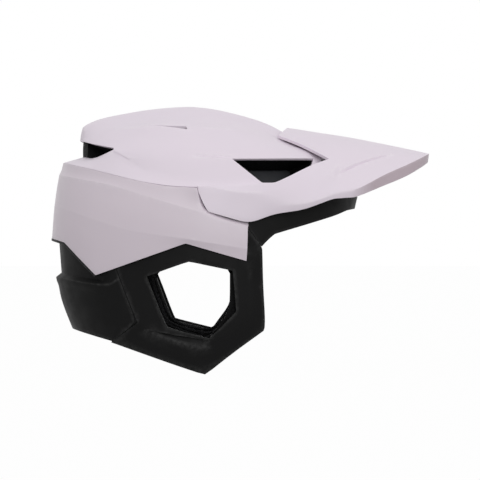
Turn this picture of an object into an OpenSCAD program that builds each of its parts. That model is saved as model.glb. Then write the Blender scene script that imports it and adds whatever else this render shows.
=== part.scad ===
// Trail helmet with full ear cover and a fixed peak.
// Millimetres. +X is forward, +Y is the wearer's left, +Z is up.
// The origin lies under the middle of the helmet, level with its lowest edge.

/* [Outer wall] */
// Reach of the wall forward of the origin, at brow height
wall_front = 109; // [107:0.5:111]
// Reach of the wall behind the origin, at its fullest
wall_rear = 178; // [175:0.5:181]
// Half width of the wall at its widest
wall_half = 105; // [103:0.5:107]
// Squareness of the plan outline, where 2 is an ellipse
squareness = 2.2; // [2.1:0.05:2.3]
// Height of the top of the dome
dome_top = 245; // [243:0.5:247]

/* [Shells] */
// Thickness of the pale crown and side shells
shell_t = 2.6; // [2:0.1:3]
// Thickness of the black guards and of the brow frame
guard_t = 3; // [2:0.1:3.5]
// Clear gap between two fitted shells
fit_gap = 0.4; // [0.3:0.05:0.6]
// Depth by which the black guards lie under the pale wall
guard_inset = 3.4; // [3.2:0.1:4]

/* [Peak] */
// Reach of the peak's tip forward of the origin
peak_tip = 178; // [172:0.5:184]
// Height of the peak's tip
peak_tip_z = 199; // [195:0.5:203]
// Thickness of the peak
peak_t = 2.8; // [2.2:0.1:3.2]
// Drop of the peak's roof for each square millimetre of offset
peak_arch = 0.007; // [0.006:0.0002:0.008]

/* [Foam and liner] */
// Depth from the outer wall to the head space in front of the brow
brow_foam = 25; // [22:0.5:28]
// Depth from the outer wall to the head space behind the head
rear_foam = 38; // [36:0.5:41]
// Depth from the outer wall to the head space beside the temples
side_foam = 25; // [23:0.5:28]
// Depth from the dome to the head space above the head
crown_foam = 27; // [24:0.5:30]
// Thickness of the slip liner
slip_t = 1.2; // [1:0.1:1.5]
// Thickness of the comfort pads
pad_t = 5; // [4:0.5:7]

/* [Ear opening] */
// Distance by which the ear opening is grown past its drawn outline
ear_grow = 0; // [-2:0.5:2]

/* [Hidden] */

wall_mid = -30;
wall_power = 2 / squareness;
head_front = wall_front - brow_foam;
head_rear = wall_rear - rear_foam;
head_mid = [(head_front - head_rear) / 2, 0, 150];
head_half_len = (head_front + head_rear) / 2;
head_half_w = wall_half - side_foam;
head_rise = dome_top - crown_foam - head_mid[2];
// Sizes of the wall on which the lines and tables below are drawn, so that they follow a changed wall
drawn_top = 245;
drawn_half = 105;
drawn_rear = 178;
drawn_front = 109;

// Height against reach and width of the wall, as shares of its fullest size less a step
wall_rear_step = [[0, 40], [40, 17], [64, 6], [76, 5], [90, 3], [123, 0], [178, 8], [194, 11.5]];
wall_front_step = [[0, 14], [50, 9], [100, 5], [150, 0.5], [163, 0], [194, 0]];
wall_half_step = [[0, 17], [20, 13], [40, 9.5], [60, 7], [80, 4.5], [100, 2.5], [117, 1.2],
    [146, 0], [166, 1.6], [194, 7]];

// Lines drawn on the side of the helmet: x against height
ridge_line = [[-170, 193], [-145, 186.5], [-124, 181], [-92, 172.5], [-64, 167.3], [-38, 166.5],
    [60, 166], [107, 163]];
band_line = [[-170, 181], [-154, 177], [-110, 168], [-91, 161], [-41, 146], [-26, 142.5]];
panel_crease = [[-178, 152], [-161, 149], [-99, 128], [-48, 121], [6, 112]];
panel_edge = [[-178, 122], [-161, 118], [-130, 88.5], [-48, 117], [6, 101.5]];
arm_low_edge = [[-38, 165], [-35, 152], [-31, 145.5], [-26, 142], [-5, 135.7], [6, 134.2]];

function sgn(v) = v < 0 ? -1 : 1;
function mix(a, b, f) = a + (b - a) * f;
function unit(v) = v / norm(v);
function flip(p) = [p[0], -p[1], p[2]];

// Moves an x from one wall to another, each given by its front and rear reach
function moved_x(x, from, to) =
    x < wall_mid ? wall_mid + (x - wall_mid) * (to[1] + wall_mid) / (from[1] + wall_mid)
    : wall_mid + (x - wall_mid) * (to[0] - wall_mid) / (from[0] - wall_mid);
function fitted_x(x) = moved_x(x, [drawn_front, drawn_rear], [wall_front, wall_rear]);
function drawn_x(x) = moved_x(x, [wall_front, wall_rear], [drawn_front, drawn_rear]);
// Height on this dome of a height drawn above a foot
function dome_z(z, foot) =
    z < foot ? z : foot + (z - foot) * (dome_top - foot) / (drawn_top - foot);

// Point of the outer wall: angle from the front round the right side, height, inset
function wall_point(a, z, t) =
    let (front = wall_front - lookup(z, wall_front_step) - t,
        rear = wall_rear - lookup(z, wall_rear_step) - t,
        half = wall_half - lookup(z, wall_half_step) - t,
        reach = cos(a) >= 0 ? front - wall_mid : rear + wall_mid)
    [wall_mid + sgn(cos(a)) * reach * pow(abs(cos(a)), wall_power),
        -half * pow(abs(sin(a)), wall_power), z];

// Point of the right wall seen from the side at a drawn x and z
function side_point(drawn, z, t) =
    let (x = fitted_x(drawn),
        front = wall_front - lookup(z, wall_front_step) - t,
        rear = wall_rear - lookup(z, wall_rear_step) - t,
        half = wall_half - lookup(z, wall_half_step) - t,
        reach = x >= wall_mid ? front - wall_mid : rear + wall_mid,
        share = min(1, abs(x - wall_mid) / reach))
    [x, -half * pow(1 - pow(share, squareness), 1 / squareness), z];

// Angle at which the wall passes a drawn x
function angle_at(drawn, z) =
    let (x = fitted_x(drawn),
        front = wall_front - lookup(z, wall_front_step),
        rear = wall_rear - lookup(z, wall_rear_step),
        reach = x >= wall_mid ? front - wall_mid : rear + wall_mid)
    acos(sgn(x - wall_mid) * pow(min(1, abs(x - wall_mid) / reach), squareness / 2));

// Height of a drawn line where the column at angle a crosses it
function line_z(line, a) =
    let (first = lookup(drawn_x(wall_point(a, 140, 0)[0]), line))
    lookup(drawn_x(wall_point(a, first, 0)[0]), line);

// A column's point on a drawn line
function line_point(line, a, t, lift = 0) = wall_point(a, line_z(line, a) + lift, t);

// The head space: a point's place on its surface, g further in
function head_point(p, g) =
    let (high = max(0, p[2] - head_mid[2]),
        low = max(0, head_mid[2] - p[2]),
        d = [p[0] - head_mid[0], p[1], high],
        taper = 0.05 * low,
        shares = [d[0] / (head_half_len - g), d[1] / (head_half_w - taper - g), d[2] / (head_rise - g)],
        k = 1 / norm(shares))
    [head_mid[0] + d[0] * k, d[1] * k, min(p[2], head_mid[2]) + d[2] * k];

// The same for a point that keeps its drawn x and its height
function head_side(drawn, z, g) =
    let (x = fitted_x(drawn),
        w = head_half_w - 0.05 * max(0, head_mid[2] - z) - g)
    [x, -w * sqrt(1 - pow((x - head_mid[0]) / (head_half_len - g), 2)), z];
// Point of the head space at angle a from the front, height z, g further in
function head_wall(a, z, g) =
    let (s = sqrt(max(0, 1 - pow(max(0, z - head_mid[2]) / (head_rise - g), 2))),
        w = head_half_w - 0.05 * max(0, head_mid[2] - z) - g)
    [head_mid[0] + cos(a) * (head_half_len - g) * s, -sin(a) * w * s, z];

// Solids made of quilted faces. A face is four point numbers, counter-clockwise from outside.
// A triangle repeats its last number.
function face_normal(p, f) =
    cross(p[f[2]] - p[f[0]], p[f[3]] == p[f[2]] ? p[f[2]] - p[f[1]] : p[f[3]] - p[f[1]]);
function inward(p, faces, t) =
    let (flat = [for (f = faces) each f], n = [for (f = faces) unit(face_normal(p, f))])
    [for (i = [0:len(p) - 1])
        let (hits = search(i, flat, 0))
        len(hits) == 0 ? p[i] : p[i] - t * unit(sum([for (h = hits) n[floor(h / 4)]]))];
function sum(v, i = 0) = i == len(v) - 1 ? v[i] : v[i] + sum(v, i + 1);

// A face cut in two along its shorter diagonal
function cut(p, f) =
    f[2] == f[3] ? [[f[0], f[1], f[2]]]
    : norm(p[f[0]] - p[f[2]]) <= norm(p[f[1]] - p[f[3]]) ? [[f[0], f[1], f[2]], [f[0], f[2], f[3]]]
    : [[f[0], f[1], f[3]], [f[1], f[2], f[3]]];

module quilt(outer, inner, faces) {
    n = len(outer);
    edges = [for (f = faces) for (k = [0:3]) if (f[k] != f[(k + 1) % 4]) [f[k], f[(k + 1) % 4]]];
    codes = [for (e = edges) e[0] * n + e[1]];
    rim = [for (e = edges) if (len(search(e[1] * n + e[0], codes)) == 0) e];
    cuts = [for (f = faces) each cut(outer, f)];
    out = [for (c = cuts) [c[2], c[1], c[0]]];
    in = [for (c = cuts) [c[0] + n, c[1] + n, c[2] + n]];
    wall = [for (e = rim) each [[e[0], e[1], e[1] + n], [e[0], e[1] + n, e[0] + n]]];
    polyhedron(concat(outer, inner), concat(out, in, wall), convexity = 12);
}

// Faces of an open grid of columns by rows, and of a ring of columns that closes on itself
function grid_faces(cols, rows, skip = []) =
    [for (i = [0:cols - 2]) for (j = [0:rows - 2]) if (len([for (s = skip) if (s == [i, j]) 1]) == 0)
        [i * rows + j, (i + 1) * rows + j, (i + 1) * rows + j + 1, i * rows + j + 1]];

// Mirrors a list of right hand columns to the left, sharing the last column
function both_sides(cols) =
    let (n = len(cols)) concat(cols, [for (i = [n - 2:-1:0]) [for (p = cols[i]) flip(p)]]);
function flat_points(cols) = [for (c = cols) each c];

// A wall between matching columns, thickened inwards
module wall_patch(cols, t) {
    p = flat_points(cols);
    faces = grid_faces(len(cols), len(cols[0]));
    quilt(p, inward(p, faces, t), faces);
}
// A filler between a wall and the head space
module liner_patch(cols, g) {
    p = flat_points(cols);
    faces = grid_faces(len(cols), len(cols[0]));
    quilt(p, [for (q = p) head_point(q, g)], faces);
}

// Crown: rings from the ridge to the top. Each is the rear x and z, the middle x, the half width, the
// side z, and the front x and z.
crown_rings = [
    [-146, 198, -30, 98.6, 170.3, 104, 172],
    [-148.5, 204.5, -30, 95, 181, 97, 184],
    [-150, 211.5, -30, 90, 191.8, 88, 195],
    [-150, 214, -30, 83, 201.5, 77, 201],
    [-148, 217, -33, 74, 210.5, 64, 203.5],
    [-141, 222.3, -36, 63.5, 221.5, 48, 207.5],
    [-128, 226.6, -40, 52, 225, 30, 219.6],
    [-110, 229.8, -44, 39, 230, 10, 226],
    [-88, 233.8, -47, 26, 234, -12, 232],
    [-66, 236, -48, 13, 236.2, -30, 235.4]];
// Height of the rounded spine along the middle of the crown, and the half widths of its top and foot
spine_h = 8;
spine_top = 14;
spine_foot = 36;
// Columns from the rear to the front: angle below the side vent, angle above it, pinch of the rear vent
crown_cols = [[180, 180, 0], [170, 170, 0], [160, 160, 0.05], [151, 151, 0.14], [142, 142, 0.4],
    [132, 132, 0.78], [123, 123, 0.5], [114, 114, 0.25], [103, 103, 0.1], [95, 95, 0], [88, 89, 0],
    [79, 84, 0], [70.5, 80.5, 0], [67.5, 73, 0], [64.5, 66, 0], [61.5, 60, 0], [58.5, 54, 0],
    [56, 46, 0], [53, 36.5, 0], [44, 34, 0], [36, 30.5, 0], [28, 25, 0], [20, 19, 0], [12, 12, 0],
    [6, 6, 0], [0, 0, 0]];
// The thin slit on the side of the dome: its first column and row, and at its three columns the share
// by which its upper edge closes on its lower edge, and the lift of both
slit_col = 7;
slit_row = 6;
slit_pinch = [0.85, 0.65, 0.35];
slit_lift = [2.5, 0.5, -1.8];
side_vent = [for (i = [12:17]) for (j = [1, 2]) [i, j]];
rear_vent = [for (i = [0:4]) for (j = [1, 2]) [i, j]];
rear_vent_deep = [for (i = [2:4]) for (j = [1, 2]) [i, j]];
top_slit = [for (i = [0, 1]) [slit_col + i, slit_row]];
brow_vent = [for (i = [20:22]) for (j = [1, 2]) [i, j]];

function smooth(f) = let (g = max(0, min(1, f))) g * g * (3 - 2 * g);
function spine(y, r) =
    spine_h * min(1, max(0, r - 2) / 2) * (1 - smooth((abs(y) - spine_top) / (spine_foot - spine_top)));
function ring_point(r, a) =
    let (s = crown_rings[r], c = cos(a), end = c >= 0 ? s[5] : s[0], end_z = c >= 0 ? s[6] : s[1],
        y = s[3] * wall_half / drawn_half * pow(abs(sin(a)), wall_power),
        z = mix(s[4], end_z, c * c) + spine(y, r))
    [fitted_x(s[2] + (end - s[2]) * pow(abs(c), wall_power)), -y, dome_z(z, line_z(ridge_line, a))];
function crown_angle(i, r) = mix(crown_cols[i][0], crown_cols[i][1], min(1, r / 2));
// A column of the slit: its place among the three, or undefined
function slit_place(i) = i < slit_col || i > slit_col + 2 ? undef : i - slit_col;
function slit_foot(i) =
    ring_point(slit_row - 1, crown_angle(i, slit_row)) + [0, 0, slit_lift[slit_place(i)]];
// Lift of the rear vent's tip: column against height
tip_lift = [[3, 1], [5, 2], [6, 1.6], [7, 0.8], [8, 0]];
function crown_point(i, j) =
    j == 0 ? line_point(ridge_line, crown_cols[i][0], 1)
    : let (r = j - 1, pinch = crown_cols[i][2], tip = [0, 0, lookup(i, tip_lift)],
        here = ring_point(r, crown_angle(i, r)) + (r == 1 || r == 2 ? tip : [0, 0, 0]),
        vent_top = ring_point(2, crown_angle(i, 2)) + tip, slit = slit_place(i))
    r < 2 ? mix(here, vent_top, pinch * (1 - r / 2))
    : slit == undef ? here
    : r == slit_row - 1 ? slit_foot(i)
    : r == slit_row ? mix(here, slit_foot(i), slit_pinch[slit]) : here;
crown_rows = len(crown_rings) + 1;
crown_half = len(crown_cols) - 1;
crown_around = 2 * crown_half;
function crown_grid() = concat(
    [for (i = [0:crown_around - 1]) for (j = [0:crown_rows - 1])
        i <= crown_half ? crown_point(i, j) : flip(crown_point(crown_around - i, j))],
    [[fitted_x(-48), 0, dome_top]]);
// Faces of columns that close on themselves, with a fan to the last point. The skipped cells are
// named on the right hand half and left out on both.
function ring_faces(around, rows, skip) = concat(
    [for (i = [0:around - 1]) for (j = [0:rows - 2])
        let (k = i < around / 2 ? i : around - 1 - i, n = (i + 1) % around)
        if (len([for (s = skip) if (s == [k, j]) 1]) == 0)
            [i * rows + j, n * rows + j, n * rows + j + 1, i * rows + j + 1]],
    [for (i = [0:around - 1])
        let (n = (i + 1) % around, top = around * rows)
        [(i + 1) * rows - 1, (n + 1) * rows - 1, top, top]]);
function crown_faces(skip) = ring_faces(crown_around, crown_rows, skip);

module crown_shell() {
    p = crown_grid();
    faces = crown_faces(concat(side_vent, rear_vent, top_slit, brow_vent));
    color([0.88, 0.84, 0.88]) quilt(p, inward(p, crown_faces([]), shell_t), faces);
}
// Share of its lowest cell by which the crown liner's foot is raised, and the drop of the liners below it
liner_lift = 0.22;
// Columns at which the foam comes up in the rear vent, and the share by which it does
vent_fill = [crown_around - 1, 0, 1];
fill_lift = 0.8;
liner_drop = 3.5;
module liner_crown() {
    p = crown_grid();
    all = crown_faces([]);
    faces = crown_faces(concat(side_vent, rear_vent_deep, top_slit, brow_vent));
    full = inward(p, all, shell_t + fit_gap);
    last = len(full) - 1;
    // The lowest row is raised along the shell, clear of the foam and the frame below. The foam
    // behind the closed end of the rear vent comes up between the shell's edges.
    outer = [for (k = [0:last])
        k < last && k % crown_rows == 0 ? mix(full[k], full[k + 1], liner_lift)
        : len([for (i = vent_fill) if (k == i * crown_rows + 2) 1]) > 0 ? mix(full[k], p[k], fill_lift)
        : full[k]];
    color([0.12, 0.12, 0.12]) quilt(outer, [for (q = outer) head_point(q, 0)], faces);
}

// Side shell: the pale wrap below the crown, whose upper edge stays this far under the ridge
under_gap = 2.6;
panel_front_x = 6.5;
side_cols = [angle_at(panel_front_x, 115), 84, 90, angle_at(-35, 150), angle_at(-38, 150),
    angle_at(-48, 117), 102, 109, 116, 123, angle_at(-130, 88), 138, 144.5, angle_at(-161, 118),
    159, 167, 174, 180];
function shell_top(a) =
    let (x = drawn_x(wall_point(a, 150, 0)[0]))
    x < -39 ? line_z(ridge_line, a) - under_gap : line_z(arm_low_edge, a) - 1.2;
function side_column(a) =
    let (top = shell_top(a), band = min(line_z(band_line, a), top - 2.5), low = line_z(panel_edge, a),
        crease = min(line_z(panel_crease, a), band - 6),
        under = drawn_x(wall_point(a, 150, 0)[0]) < -39 ? 3 : 0.4)
    [wall_point(a, low, 1.6), wall_point(a, mix(low, crease, 0.5), 0.9),
        wall_point(a, max(crease, low + 3), 0), wall_point(a, mix(crease, band, 0.5), -0.3),
        wall_point(a, band, 0), wall_point(a, mix(band, top, 0.5), under * 0.45),
        wall_point(a, top, under)];
module side_shell() {
    right = [for (i = [0:len(side_cols) - 1]) side_column(side_cols[len(side_cols) - 1 - i])];
    // From the left front edge round the rear to the right front edge
    left = [for (i = [0:len(side_cols) - 1]) [for (p = side_column(side_cols[i])) flip(p)]];
    cols = concat(left, [for (i = [1:len(right) - 1]) right[i]]);
    color([0.80, 0.76, 0.79]) wall_patch(cols, shell_t);
}

// Brow frame: the black rim round the face opening, under the peak
frame_low = [[7, 133.5], [18.5, 114.5], [24, 120], [32, 127.5], [50, 132.5], [80, 141.5],
    [100, 148.5], [108, 150]];
frame_cols = [angle_at(8, 134), angle_at(13, 134), angle_at(18.5, 130), angle_at(24, 130),
    angle_at(32, 135), angle_at(44, 138), angle_at(58, 142), angle_at(70, 145), 38, 30, 22, 14, 7, 0];
// Reach by which the frame's upper edge leans out over the brow
frame_lean = 5;
function frame_column(a) =
    let (low = line_z(frame_low, a), top = line_z(ridge_line, a) - under_gap,
        lean = frame_lean * smooth((cos(a) - 0.7) / 0.3))
    [wall_point(a, low, guard_inset - 1.2 - 0.3 * lean),
        wall_point(a, mix(low, top, 0.3), guard_inset - 1 - 0.5 * lean),
        wall_point(a, mix(low, top, 0.65), guard_inset - 0.2 - 0.8 * lean),
        wall_point(a, top, guard_inset - lean)];
module brow_frame() {
    cols = both_sides([for (a = frame_cols) frame_column(a)]);
    color([0.14, 0.14, 0.14]) wall_patch(cols, guard_t);
}

// Guards: x, z and inset of the ear opening, of the crease round it and of the outline
ear_edge = [[-83, 87.5, 0], [-64, 94.5, 0], [-45, 101, 0], [-26, 97, 0], [-6.5, 93, 0], [-5.4, 83, 0],
    [-4.3, 70, 0], [-3.2, 57, 0], [-10, 50, 0], [-18, 41.5, 0], [-27.5, 33, 0], [-46, 37.8, 3.5],
    [-64.5, 42.6, 3.5], [-70, 54, 0], [-76, 70, 0]];
guard_crease = [[-95, 89, 0], [-71, 101, 0], [-46, 110, 0], [-22, 106, 0], [9, 100, 0], [9.5, 88, 0],
    [10, 72, 0], [10.5, 52, 0], [3, 43, 0], [-12, 32, 0], [-38, 25, 0], [-58, 31, 0], [-81, 40, 0],
    [-80, 51, 0], [-87, 69, 0]];
guard_edge = [[-110, 96, 1.2], [-80, 112, 1.2], [-48, 123, 1.2], [-22, 116, 1.2], [5.5, 108, 1.2],
    [18.7, 107, 4], [20.5, 78, 4], [22.7, 48, 4], [21.6, 39.6, 3], [-5, 21, 1.5], [-35, 0, 1],
    [-60, 9.5, 1], [-114.5, 29.8, 0], [-91, 46.6, 0], [-100, 69, 0]];
pillar_top = [[17.6, 113.8, 3.5], [6, 132.2, 0.7]];
guard_spokes = len(guard_edge);
function ear_point(i) =
    let (c = [-43, 68], p = ear_edge[i], d = [p[0] - c[0], p[1] - c[1]], g = 1 + ear_grow / norm(d))
    side_point(c[0] + d[0] * g, c[1] + d[1] * g, guard_inset + p[2]);
function guard_points() = concat([for (i = [0:guard_spokes - 1]) each [
        ear_point(i),
        side_point(guard_crease[i][0], guard_crease[i][1], guard_inset + guard_crease[i][2]),
        side_point(guard_edge[i][0], guard_edge[i][1], guard_inset + guard_edge[i][2])]],
    [for (p = pillar_top) side_point(p[0], p[1], guard_inset + p[2])]);
guard_faces = concat(
    [for (i = [0:guard_spokes - 1]) for (j = [0, 1]) let (n = (i + 1) % guard_spokes)
        [i * 3 + j, i * 3 + j + 1, n * 3 + j + 1, n * 3 + j]],
    [[4 * 3 + 2, guard_spokes * 3 + 1, guard_spokes * 3, 5 * 3 + 2]]);
module guard_right() {
    p = guard_points();
    faces = [for (f = guard_faces) [f[3], f[2], f[1], f[0]]];
    color([0.12, 0.12, 0.12]) quilt(p, inward(p, faces, guard_t), faces);
}
module guard_left() { mirror([0, 1, 0]) guard_right(); }

// Rear guard: the black neck cover between the two seams
neck_top = [[-178, 126], [-161, 122], [-130, 95], [-112, 96.5], [-104, 101]];
neck_lip = [[-178, 84], [-161, 82.5], [-148, 80.5], [-133, 78.5], [-111, 78]];
neck_low = [[-178, 39.5], [-157, 39.5], [-150, 38], [-114, 30]];
neck_cols = [180, 172, 164, 157, 150, 144, 138, 132];
seam_gap = 0.8;
seam_line = [[29.8, -114.5], [46.6, -91], [69, -100], [96, -110]];
function neck_seam(z, t) = side_point(lookup(z, seam_line) - seam_gap, z, t);
function neck_rows(a) =
    let (lip = line_z(neck_lip, a), low = line_z(neck_low, a), top = line_z(neck_top, a))
    [[low, 0], [mix(low, lip, 0.33), 0], [mix(low, lip, 0.66), 0], [lip - 6, 0],
        [lip - 2, -1.6], [lip + 2, -1.6], [lip + 6, 4], [top, 4]];
neck_end = [[30, 0], [38, 0], [46.6, 0], [58, 0], [69, 0], [78, 0], [87, 0.3], [96, 0.5]];
module rear_guard() {
    mid = [for (a = neck_cols) [for (r = neck_rows(a)) wall_point(a, r[0], guard_inset + r[1])]];
    end = [for (r = neck_end) neck_seam(r[0], guard_inset + r[1])];
    right = concat(mid, [[for (k = [0:len(end) - 1]) 0.5 * (mid[len(mid) - 1][k] + end[k])], end]);
    left = [for (i = [len(right) - 1:-1:1]) [for (p = right[i]) flip(p)]];
    color([0.11, 0.11, 0.11]) wall_patch(concat(left, right), guard_t);
}

// Peak: the roof, the side arms and the lip, drawn from the side and from above
roof_line = [[30, 226.3], [46, 225.4], [83, 219.7], [126, 210.8], [peak_tip - 9, peak_tip_z + 3.2],
    [peak_tip, peak_tip_z]];
function roof_point(x, y) = [x, -y, lookup(x, roof_line) - peak_arch * y * y];
// The roof's outline from above, from the tip to the side corner, with the lip's depth there
peak_front = [[peak_tip, 0, 3.8], [peak_tip - 2, 16, 5], [peak_tip - 10, 34, 6.2],
    [peak_tip - 26, 52, 8.3], [peak_tip - 48, 68, 8.6], [peak_tip - 61, 78, 7], [peak_tip - 74, 86, 5.6]];
notch_tip = [35, 38];
notch_corner = [80.5, 62];
lip_lean = 1.2;
// Side arm from its rear end to the notch: upper edge, crease and lower edge
arm_rails = [
    [[-37.5, -102.4, 165.2], [-36.5, -103.2, 162.5], [-34.6, -104.3, 152]],
    [[-30, -102.6, 165.2], [-29, -104, 162], [-29.5, -104.7, 145]],
    [[-20, -102.6, 165.2], [-20, -104.4, 160.2], [-23, -104.9, 141]],
    [[-3, -102.3, 165.4], [-3, -104.8, 157.2], [-4, -104.4, 135.7]],
    [[10, -102.6, 167.2], [10, -104.8, 154.8], [7, -103.8, 134.8]],
    [[20, -101.8, 169.3], [24, -104, 152.6], [18, -102.8, 138]],
    [[31, -98.5, 170.4], [38, -101.6, 151.4], [31, -101, 143.6]],
    [[48, -87, 178.5], [53, -98.6, 151.6], [53, -97.2, 145.5]],
    [[63, -73.5, 187], [67, -95.6, 154.5], [68, -94.2, 151]]];
peak_waist = [[80.5, -62, 194.2], [79, -92.5, 160], [82, -91.2, 156.5]];
roof_lanes = 4;
roof_rear = 3;
roof_front = 5;
roof_len = roof_rear + roof_front + 1;
arm_len = len(arm_rails) + roof_front + 1;
function corner(l) = roof_point(peak_front[l][0], peak_front[l][1]);
function below(l) = corner(l) + [-lip_lean, l > 3 ? lip_lean : 0, -peak_front[l][2]];
function roof_lane(l) =
    let (f = l / roof_lanes, back = [mix(45, notch_tip[0], f * f), notch_tip[1] * f],
        waist = [mix(82, notch_corner[0], f), notch_corner[1] * f], tip = peak_front[l])
    concat([for (k = [0:roof_rear - 1]) let (g = k / roof_rear)
            roof_point(mix(back[0], waist[0], g), mix(back[1], waist[1], g))],
        [for (k = [0:roof_front]) let (g = k / roof_front)
            roof_point(mix(waist[0], tip[0], g), mix(waist[1], tip[1], g))]);
// The lane between the arm's upper edge and its crease swells by this much
arm_swell = 1.5;
function arm_lane(l) = concat(
    [for (s = arm_rails) l == 4 ? s[0] : l == 5 ? mix(s[0], s[1], 0.5) + [0, -arm_swell, arm_swell / 2]
        : s[l - 5]],
    l == 4 ? [] : let (swollen = mix(peak_waist[0], peak_waist[1], 0.5) + [0, -4, 3],
        start = l == 5 ? swollen : peak_waist[l - 5],
        end = l == 7 ? below(6) : corner(l))
        [for (k = [0:roof_front]) let (p = mix(start, end, k / roof_front))
            l == 7 || k == 0 ? p : roof_point(p[0], -p[1])]);
function peak_right() = concat(arm_lane(4), arm_lane(5), arm_lane(6), arm_lane(7),
    [for (l = [5:-1:0]) below(l)]);
function peak_side_faces(first, side) =
    let (roof_last = (side > 0 ? 2 * roof_lanes : 0) * roof_len,
        row = function(l) (roof_lanes + side * l) * roof_len,
        edge = function(s) s < len(arm_rails) ? first + s : roof_last + roof_rear + s - len(arm_rails),
        at = function(l, s) l == 4 ? edge(s) : first + len(arm_rails) + (l - 5) * arm_len + s,
        lip = function(l) l == 6 ? at(7, arm_len - 1) : first + len(arm_rails) + 3 * arm_len + 5 - l,
        top = function(l) l < 4 ? row(l) + roof_len - 1 : at(l, arm_len - 1),
        faces = concat([for (l = [4:6]) for (s = [0:arm_len - 2])
                [at(l, s), at(l + 1, s), at(l + 1, s + 1), at(l, s + 1)]],
            [for (l = [0:5]) [top(l), top(l + 1), lip(l + 1), lip(l)]]))
    [for (f = faces) side > 0 ? f : [f[3], f[2], f[1], f[0]]];
// The peak's root follows a changed wall and dome, and its tip keeps its own reach and height
peak_follow = [[drawn_front, 1], [peak_tip, 0]];
arm_z = 163;
function peak_place(p) =
    let (f = lookup(p[0], peak_follow))
    [mix(p[0], fitted_x(p[0]), f), p[1] * wall_half / drawn_half, mix(p[2], dome_z(p[2], arm_z), f)];
module peak() {
    roof = both_sides([for (l = [roof_lanes:-1:0]) [for (q = roof_lane(l)) flip(q)]]);
    right = peak_right();
    // The left half shares the lip's middle point with the right
    left = [for (i = [0:len(right) - 1]) flip(right[i])];
    first = len(roof) * roof_len;
    p = [for (q = concat(flat_points(roof), right, left)) peak_place(q)];
    shared = first + len(right) - 1;
    left_faces = [for (f = peak_side_faces(first + len(right), -1))
        [for (v = f) v == first + 2 * len(right) - 1 ? shared : v]];
    faces = concat(grid_faces(len(roof), roof_len), peak_side_faces(first, 1), left_faces);
    color([0.88, 0.84, 0.88]) quilt(p, inward(p, faces, peak_t), faces);
}

// Liners behind the side shell and behind the brow frame
module liner_rear() {
    function column(a) =
        let (top = line_z(ridge_line, a) - liner_drop, low = max(line_z(panel_edge, a) + 9, 100))
        [for (k = [0:4]) wall_point(a, mix(low, top, k / 4), shell_t + fit_gap + 3)];
    right = [for (i = [len(side_cols) - 1:-1:0]) column(side_cols[i])];
    left = [for (i = [0:len(side_cols) - 2]) [for (p = column(side_cols[i])) flip(p)]];
    color([0.13, 0.13, 0.13]) liner_patch(concat(left, right), 0);
}
module liner_brow() {
    function column(a) =
        let (low = line_z(frame_low, a) + 3, top = line_z(ridge_line, a) - liner_drop)
        [for (k = [0:3]) wall_point(a, mix(low, top, k / 3), guard_inset + guard_t + fit_gap)];
    color([0.13, 0.13, 0.13]) liner_patch(both_sides([for (a = frame_cols) column(a)]), 0);
}

// Cheek liners, behind the guards. Their ear opening is narrower in front than the guards' opening.
cheek_edge = [[-84, 88.5], [-64.5, 96], [-45, 103], [-26, 99], [-9, 94], [-9, 84], [-9, 71],
    [-9.5, 59], [-14, 51], [-21, 42], [-28.5, 31.5], [-46.5, 36], [-66, 41], [-71.5, 53], [-77.5, 69.5]];
cheek_reach = 0.7;
function ring_quads(spokes, rows) =
    [for (i = [0:spokes - 1]) for (j = [0:rows - 2]) let (n = (i + 1) % spokes)
        [n * rows + j, n * rows + j + 1, i * rows + j + 1, i * rows + j]];
function cheek_place(i) =
    let (a = guard_crease[i], b = guard_edge[i], d = max(a[2], b[2]))
    [[cheek_edge[i][0], cheek_edge[i][1], ear_edge[i][2]], [a[0], a[1], d],
        [mix(a[0], b[0], cheek_reach), mix(a[1], b[1], cheek_reach), d]];
module liner_cheek_right() {
    gap = guard_inset + guard_t + fit_gap + 0.9;
    places = [for (i = [0:guard_spokes - 1]) each cheek_place(i)];
    outer = [for (q = places) side_point(q[0], q[1], gap + q[2])];
    inner = [for (q = places) head_side(q[0], q[1], 0)];
    color([0.13, 0.13, 0.13]) quilt(outer, inner, ring_quads(guard_spokes, 3));
}
module liner_cheek_left() { mirror([0, 1, 0]) liner_cheek_right(); }

// Neck liner: a foam block behind each side of the rear guard, with room for the dial between them
block_top = 97;
module liner_neck() {
    gap = guard_inset + guard_t + fit_gap + 4;
    right = [for (a = [156, 149, 142, 135]) let (low = line_z(neck_low, a) + 6)
        [for (k = [0:3]) wall_point(a, mix(low, block_top, k / 3), gap)]];
    color([0.13, 0.13, 0.13]) {
        liner_patch(right, 0);
        mirror([0, 1, 0]) liner_patch(right, 0);
    }
}

// Lowest height of what lies inside the brow frame at angle a
function brow_z(a) = 6 + lookup(drawn_x(head_wall(a, 140, 0)[0]), frame_low);

// Slip liner: a thin dome that lets the helmet turn on the head
slip_gap = 1;
slip_low = 138;
slip_high = head_mid[2] + head_rise - 8;
slip_shares = [0, 0.24, 0.47, 0.68, 0.86, 1];
slip_step = 15;
// Its foot rises in front, so that it stays behind the brow frame
function slip_foot(a) = cos(a) < 0.3 ? slip_low : max(slip_low, brow_z(a) + 4);
module slip_liner() {
    around = 360 / slip_step;
    rows = len(slip_shares);
    cols = [for (i = [0:around - 1])
        let (a = 180 - i * slip_step)
        [for (f = slip_shares) head_wall(a, mix(slip_foot(a), slip_high, f), slip_gap)]];
    p = concat(flat_points(cols), [[head_mid[0], 0, head_mid[2] + head_rise - slip_gap]]);
    faces = ring_faces(around, rows, [[0, 0], [0, 1], [1, 3], [2, 3], [4, 4], [10, 2]]);
    color([0.2, 0.2, 0.22]) quilt(p, inward(p, ring_faces(around, rows, []), slip_t), faces);
}
// Soft plugs that carry the slip liner on the foam
module slip_anchors() {
    color([0.1, 0.1, 0.1]) for (a = [45, 135, 225, 315])
        translate(head_wall(a, 163, slip_gap + slip_t / 2)) sphere(r = 3, $fn = 12);
}

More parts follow.
